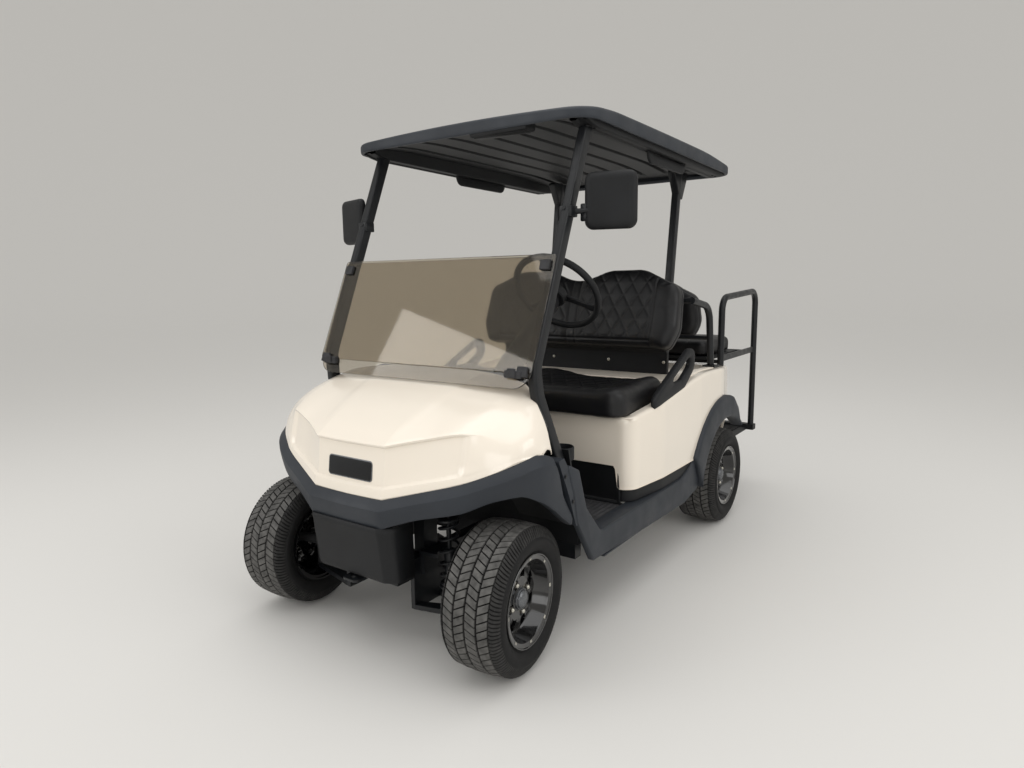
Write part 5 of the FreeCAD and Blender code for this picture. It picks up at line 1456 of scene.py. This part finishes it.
def channel_parts():
    """Hollow side channel with a sloped inner wall, its hand hold and its screws."""
    y = np.linspace(ROOF_ENDS[0] + 44, ROOF_ENDS[1] - 44, 40)
    low = np.interp(y, [y[0], y[-1]], [1676, 1656])
    ends = np.minimum(ease(0, 60, y - y[0]), ease(0, 60, y[-1] - y))
    low = low + 14 * (1 - ends)
    rows = []
    for x, up in ((436, 60), (440, 34), (446, 4), (450, 0.5), (455, 0), (470, 0), (474, 4), (480, 5), (490, 5),
                  (496, 4), (500, 0), (508, 0), (513, 2), (516, 8), (518, 26), (518, 50)):
        column = np.full(len(y), float(x))
        rows.append(np.column_stack([column, y, np.minimum(low + up, roof_top(column, y) - 8)]))
    parts = [patch(np.array(rows))]
    path = bent_path([(478, 984, 1676), (478, 990, 1648), (478, 1322, 1645), (478, 1328, 1672)], 16, 5)
    parts.append(sweep(box_section(42, 14, 6), path, up=(1, 0, 0)))
    for at in (470.0, 520.0, 1690.0, 1730.0):
        base = np.interp(at, [420, 1782], [1676, 1656])
        parts += dome_screw((485, at, base + 5), (0, 0, -1), 6.5, 3.5)
    return parts


class CART_OT_roof(bpy.types.Operator):
    """Builds the canopy with its gutter, the grooved underside, the side channels and the lamp housing"""
    bl_idname = "cart.roof"
    bl_label = "Roof"

    def execute(self, context):
        build("roof_shell", [patch(canopy_grid(), close_cols=True)], "slate", ["roof_canopy"], slot="trim_slate",
              merge=0.05)
        build("roof_lining", liner_parts(), "black", ["roof_channels"], 30, wall=2 * MM, side=0.0)
        lamp = [block(60, 300, 382, 446, 1680, 1716, 9, 6), block(72, 288, 392, 436, 1677, 1684, 4, 3)]
        build("roof_side_channels", both_sides(channel_parts()) + lamp, "black", sharp=30)
        return {"FINISHED"}


# Posts, struts and windscreen
RAKE = math.radians(22.9)
PANE_THICKNESS = 5.0
LOWER_PANE_OFFSET = -18.0
MIRROR_TURN = 15.0
PILLAR_CORNERS = [(516, 300, 430), (516, 262, 540), (472, 176, 820), (466, 168, 910), (468, 493, 1690)]


def post_parts():
    """Raked front post of rounded box tube."""
    return [sweep(box_section(32, 46, 9, 4), bent_path(PILLAR_CORNERS, 110, 10), up=(0, 1, 0))]


def strut_parts():
    """Rear strut of rounded box tube, and the pressed gusset that spreads its head."""
    path = bent_path([(322, 1528, 752), (326, 1600, 1300), (330, 1652, 1690)], 400, 20)
    gusset = round_outline([(1560, 1690), (1740, 1690), (1668, 1560), (1636, 1560)], 10, 4)
    return [sweep(box_section(38, 34, 8, 4), path, up=(0, 1, 0)), slab(gusset, "x", 312, 348, 3, 2)]


def pane_parts(low_z, high_z, half, offset, corner):
    """Flat sheet with eased edges, cut upright and leaned back about its lower edge."""
    length = (high_z - low_z) / math.cos(RAKE)
    outline = rectangle(-half, half, low_z, low_z + length, (corner, 12))
    points, faces = slab(outline, "y", 0, PANE_THICKNESS, 1.0, 2)
    return [(lean(points, (0.0, low_z), RAKE) + (0, 142 + (low_z - 880) * math.tan(RAKE) + offset, 0), faces)]


def turn_about(points, centre, degrees):
    """Points turned about an upright line through the centre."""
    out = np.array(points, float)
    x, y = out[:, 0] - centre[0], out[:, 1] - centre[1]
    c, s = math.cos(math.radians(degrees)), math.sin(math.radians(degrees))
    out[:, 0] = centre[0] + x * c - y * s
    out[:, 1] = centre[1] + x * s + y * c
    return out


def mirror_parts():
    """Rounded mirror housing, the glass set in its rear face, and the arm with its clamp on the post."""
    outline = rectangle(512, 682, 1340, 1522, 28)
    rows = ((26, 393), (21, 393.6), (15, 395), (8, 398.5), (3.2, 403.5), (0.6, 411), (0, 418), (1.2, 422.5), (3.5, 424),
            (8, 424), (10, 421))
    housing = shrunk_rings(outline, "y", rows, caps=(0,))
    glass = slab(inset(outline, 10), "y", 419.5, 421.5, 0.5, 1)
    housing, glass = ([(turn_about(points, (540.0, 408.0), MIRROR_TURN), faces)] for points, faces in (housing, glass))
    forward = (0, -1, 0)
    arm = [sweep(round_section(9, 14), bent_path([(455, 378, 1400), (500, 392, 1400), (540, 404, 1402)], 20, 5)),
           block(446, 490, 352, 400, 1382, 1418, 3, 6), block(500, 548, 394, 409, 1368, 1424, 4, 5)]
    arm += hex_bolt((465, 353, 1408), (0, -1, 0.3))
    arm += hex_bolt((520, 395, 1410), forward, 10, 4, 7) + hex_bolt((520, 395, 1382), forward, 10, 4, 7)
    return housing, glass, arm


class CART_OT_posts(bpy.types.Operator):
    """Builds the posts, struts, the folded windscreen and the mirrors"""
    bl_idname = "cart.posts"
    bl_label = "Posts and windscreen"

    def execute(self, context):
        build("front_posts", both_sides(post_parts()), "powder", ["front_pillars"], 35, "frame_black")
        build("rear_roof_struts", both_sides(strut_parts()), "powder", ["rear_struts"], 35, "frame_black", outward=True)
        build("screen_lower_pane", pane_parts(850, 1255, 478, LOWER_PANE_OFFSET, 60), "smoke", ["windscreen_lower"], 5,
              "screen_smoke", outward=True)
        fold = LOWER_PANE_OFFSET - PANE_THICKNESS / math.cos(RAKE) - 0.3
        build("screen_folded_pane", pane_parts(899, 1263, 482, fold, 12), "smoke", ["windscreen_upper"], 5,
              "screen_smoke", outward=True)
        housing, glass, arm = mirror_parts()
        build("mirror_housings", both_sides(housing), "black", ["mirrors"], outward=True)
        build("mirror_arms", both_sides(arm), "powder")
        build("mirror_glass", both_sides(glass), "mirror", outward=True)
        return {"FINISHED"}


# Cab
COLUMN_FOOT = np.array([270.0, 322.0, 888.0])
WHEEL_CENTRE = np.array([270.0, 629.0, 1136.0])
COLUMN_AXIS = unit(WHEEL_CENTRE - COLUMN_FOOT)
GRIP_CIRCLE = 165.0


def steering_parts():
    """Grip turned round the column's axis, three flat spokes that dip to the hub, and the stepped hub."""
    side = np.array([1.0, 0, 0])
    up = np.cross(COLUMN_AXIS, side)
    ring = round_section(sizes().grip_radius / MM, 18) + (0, GRIP_CIRCLE)
    parts = [turned(np.vstack([ring, ring[:1]]), WHEEL_CENTRE, COLUMN_AXIS, 96)]
    for angle in (90, 210, 330):
        a = math.radians(angle)
        out = math.cos(a) * side - math.sin(a) * up
        run = np.linspace(30, 160, 10)
        share = (run - 30) / 130
        path = WHEEL_CENTRE + run[:, None] * out + (-6 + 5 * share ** 2)[:, None] * COLUMN_AXIS
        section = np.array([box_section(2 * w, 10, 4, 3) for w in 17 - 5 * np.sin(share * math.pi)])
        parts.append(sweep(section, path, up=COLUMN_AXIS))
    parts.append(turned([(-46, 0), (-46, 24), (-34, 24), (-34, 40), (-30, 44), (-6, 46), (0, 42), (3, 30), (4, 0)],
                        WHEEL_CENTRE, COLUMN_AXIS, 40))
    return parts


def column_parts():
    """Tapered two-part shroud with a bellows-like collar at its foot."""
    length = np.linalg.norm(WHEEL_CENTRE - COLUMN_FOOT) - 46.3
    profile = [(-50, 42), (10, 41.5), (14, 43.5), (20, 43.5), (24, 40.5), (length * 0.55, 36), (length * 0.56, 35),
               (length * 0.6, 35), (length * 0.61, 34.5), (length - 8, 30.5), (length - 2, 29.5), (length, 26),
               (length, 0)]
    return [turned(profile, COLUMN_FOOT, COLUMN_AXIS, 40)]


LOOP_POWER = 0.62  # below 1, the section is fuller than an ellipse


def hip_loop_parts():
    """Chunky loop at the seat's end: between an outer and an inner rounded outline, with an oval section."""
    outer = round_outline([(842, 722, 12), (850, 680, 10), (1150, 722, 44), (1268, 800, 54), (1266, 884, 38),
                           (1206, 888, 42)], 0, 10)
    inner = round_outline([(975, 758, 14), (1120, 764, 34), (1218, 812, 28), (1222, 846, 18), (1192, 850, 18)], 0, 10)
    centre = np.array([1140.0, 800.0])
    angle = np.linspace(-math.pi, math.pi, 161)[:-1]

    def reach(outline):
        loop = np.vstack([outline, outline[:1]])
        fine = np.concatenate([loop[:-1] + (loop[1:] - loop[:-1]) * t for t in np.linspace(0, 1, 24, endpoint=False)])
        away = fine - centre
        turn = np.arctan2(away[:, 1], away[:, 0])
        order = np.argsort(turn)
        return np.interp(angle, turn[order], np.linalg.norm(away, axis=1)[order], period=2 * math.pi)

    far, near = reach(outer), reach(inner)
    phi = np.linspace(0, 2 * math.pi, 24, endpoint=False)
    c, s = (np.sign(wave) * np.abs(wave) ** LOOP_POWER for wave in (np.cos(phi), np.sin(phi)))
    radius = (far + near)[None] / 2 + c[:, None] * (far - near)[None] / 2
    x = np.broadcast_to(567 + 15 * s[:, None], radius.shape)
    grid = np.stack([x, centre[0] + radius * np.cos(angle), centre[1] + radius * np.sin(angle)], -1)
    return [patch(grid, close_rows=True, close_cols=True)]


class CART_OT_cab(bpy.types.Operator):
    """Builds the steering wheel, its column and the grab loops beside the seat"""
    bl_idname = "cart.cab"
    bl_label = "Cab"

    def execute(self, context):
        build("steering_rim", steering_parts(), "black", ["steering_wheel"], body="steering_wheel", outward=True)
        build("column_shroud", column_parts(), "black", ["steering_column"], 30, outward=True)
        build("grab_loops", both_sides(hip_loop_parts()), "black", ["hip_restraints"], 60, outward=True)
        return {"FINISHED"}


# Finishes of the frame's own pieces
KEPT = {"iron": ["knuckle_left", "knuckle_right", "steering_rack", "rear_axle", "motor", "rear_springs"],
        "zinc": ["tie_rods"],
        "powder": ["frame_rails", "suspension_arms", "shock_towers", "seat_frame", "side_hoops"],
        "liner": ["battery_pack", "wheel_liners"],
        "rubber": ["screen_clips", "pedals"],
        "slate": ["pillar_feet"],
        "black": ["floor_pan", "seat_back_panel", "rear_board", "foot_plate"]}


class CART_OT_frame(bpy.types.Operator):
    """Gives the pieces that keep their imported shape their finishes"""
    bl_idname = "cart.frame"
    bl_label = "Frame"

    def execute(self, context):
        for finish, nodes in KEPT.items():
            for node in nodes:
                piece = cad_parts[node]
                for slot in piece.material_slots:
                    slot.link = "OBJECT"
                    slot.material = FINISHES[finish]
        return {"FINISHED"}


class CART_PT_panel(bpy.types.Panel):
    """Sizes, colours and the operators that build the cart"""
    bl_idname = "CART_PT_panel"
    bl_label = "Golf cart"
    bl_space_type = "VIEW_3D"
    bl_region_type = "UI"
    bl_category = "Cart"

    def draw(self, context):
        for group in (context.scene.cart_sizes, context.scene.cart_colours):
            box = self.layout.box()
            for name in group.__annotations__:
                box.prop(group, name)
        for step in STEPS:
            self.layout.operator(step.bl_idname)


STEPS = (CART_OT_stage, CART_OT_frame, CART_OT_wheels, CART_OT_nose, CART_OT_body, CART_OT_seats, CART_OT_roof,
         CART_OT_posts, CART_OT_cab, CART_OT_fittings)
CLASSES = (CartSizes, CartColours, CART_PT_panel) + STEPS


def register():
    for item in CLASSES:
        bpy.utils.register_class(item)
    bpy.types.Scene.cart_sizes = PointerProperty(type=CartSizes)
    bpy.types.Scene.cart_colours = PointerProperty(type=CartColours)


def unregister():
    del bpy.types.Scene.cart_sizes
    del bpy.types.Scene.cart_colours
    for item in reversed(CLASSES):
        bpy.utils.unregister_class(item)


def main():
    """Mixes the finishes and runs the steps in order."""
    register()
    mix_finishes()
    bpy.ops.cart.stage()
    bpy.ops.cart.frame()
    bpy.ops.cart.wheels()
    bpy.ops.cart.nose()
    bpy.ops.cart.body()
    bpy.ops.cart.seats()
    bpy.ops.cart.roof()
    bpy.ops.cart.posts()
    bpy.ops.cart.cab()
    bpy.ops.cart.fittings()


if __name__ == "__main__":
    main()
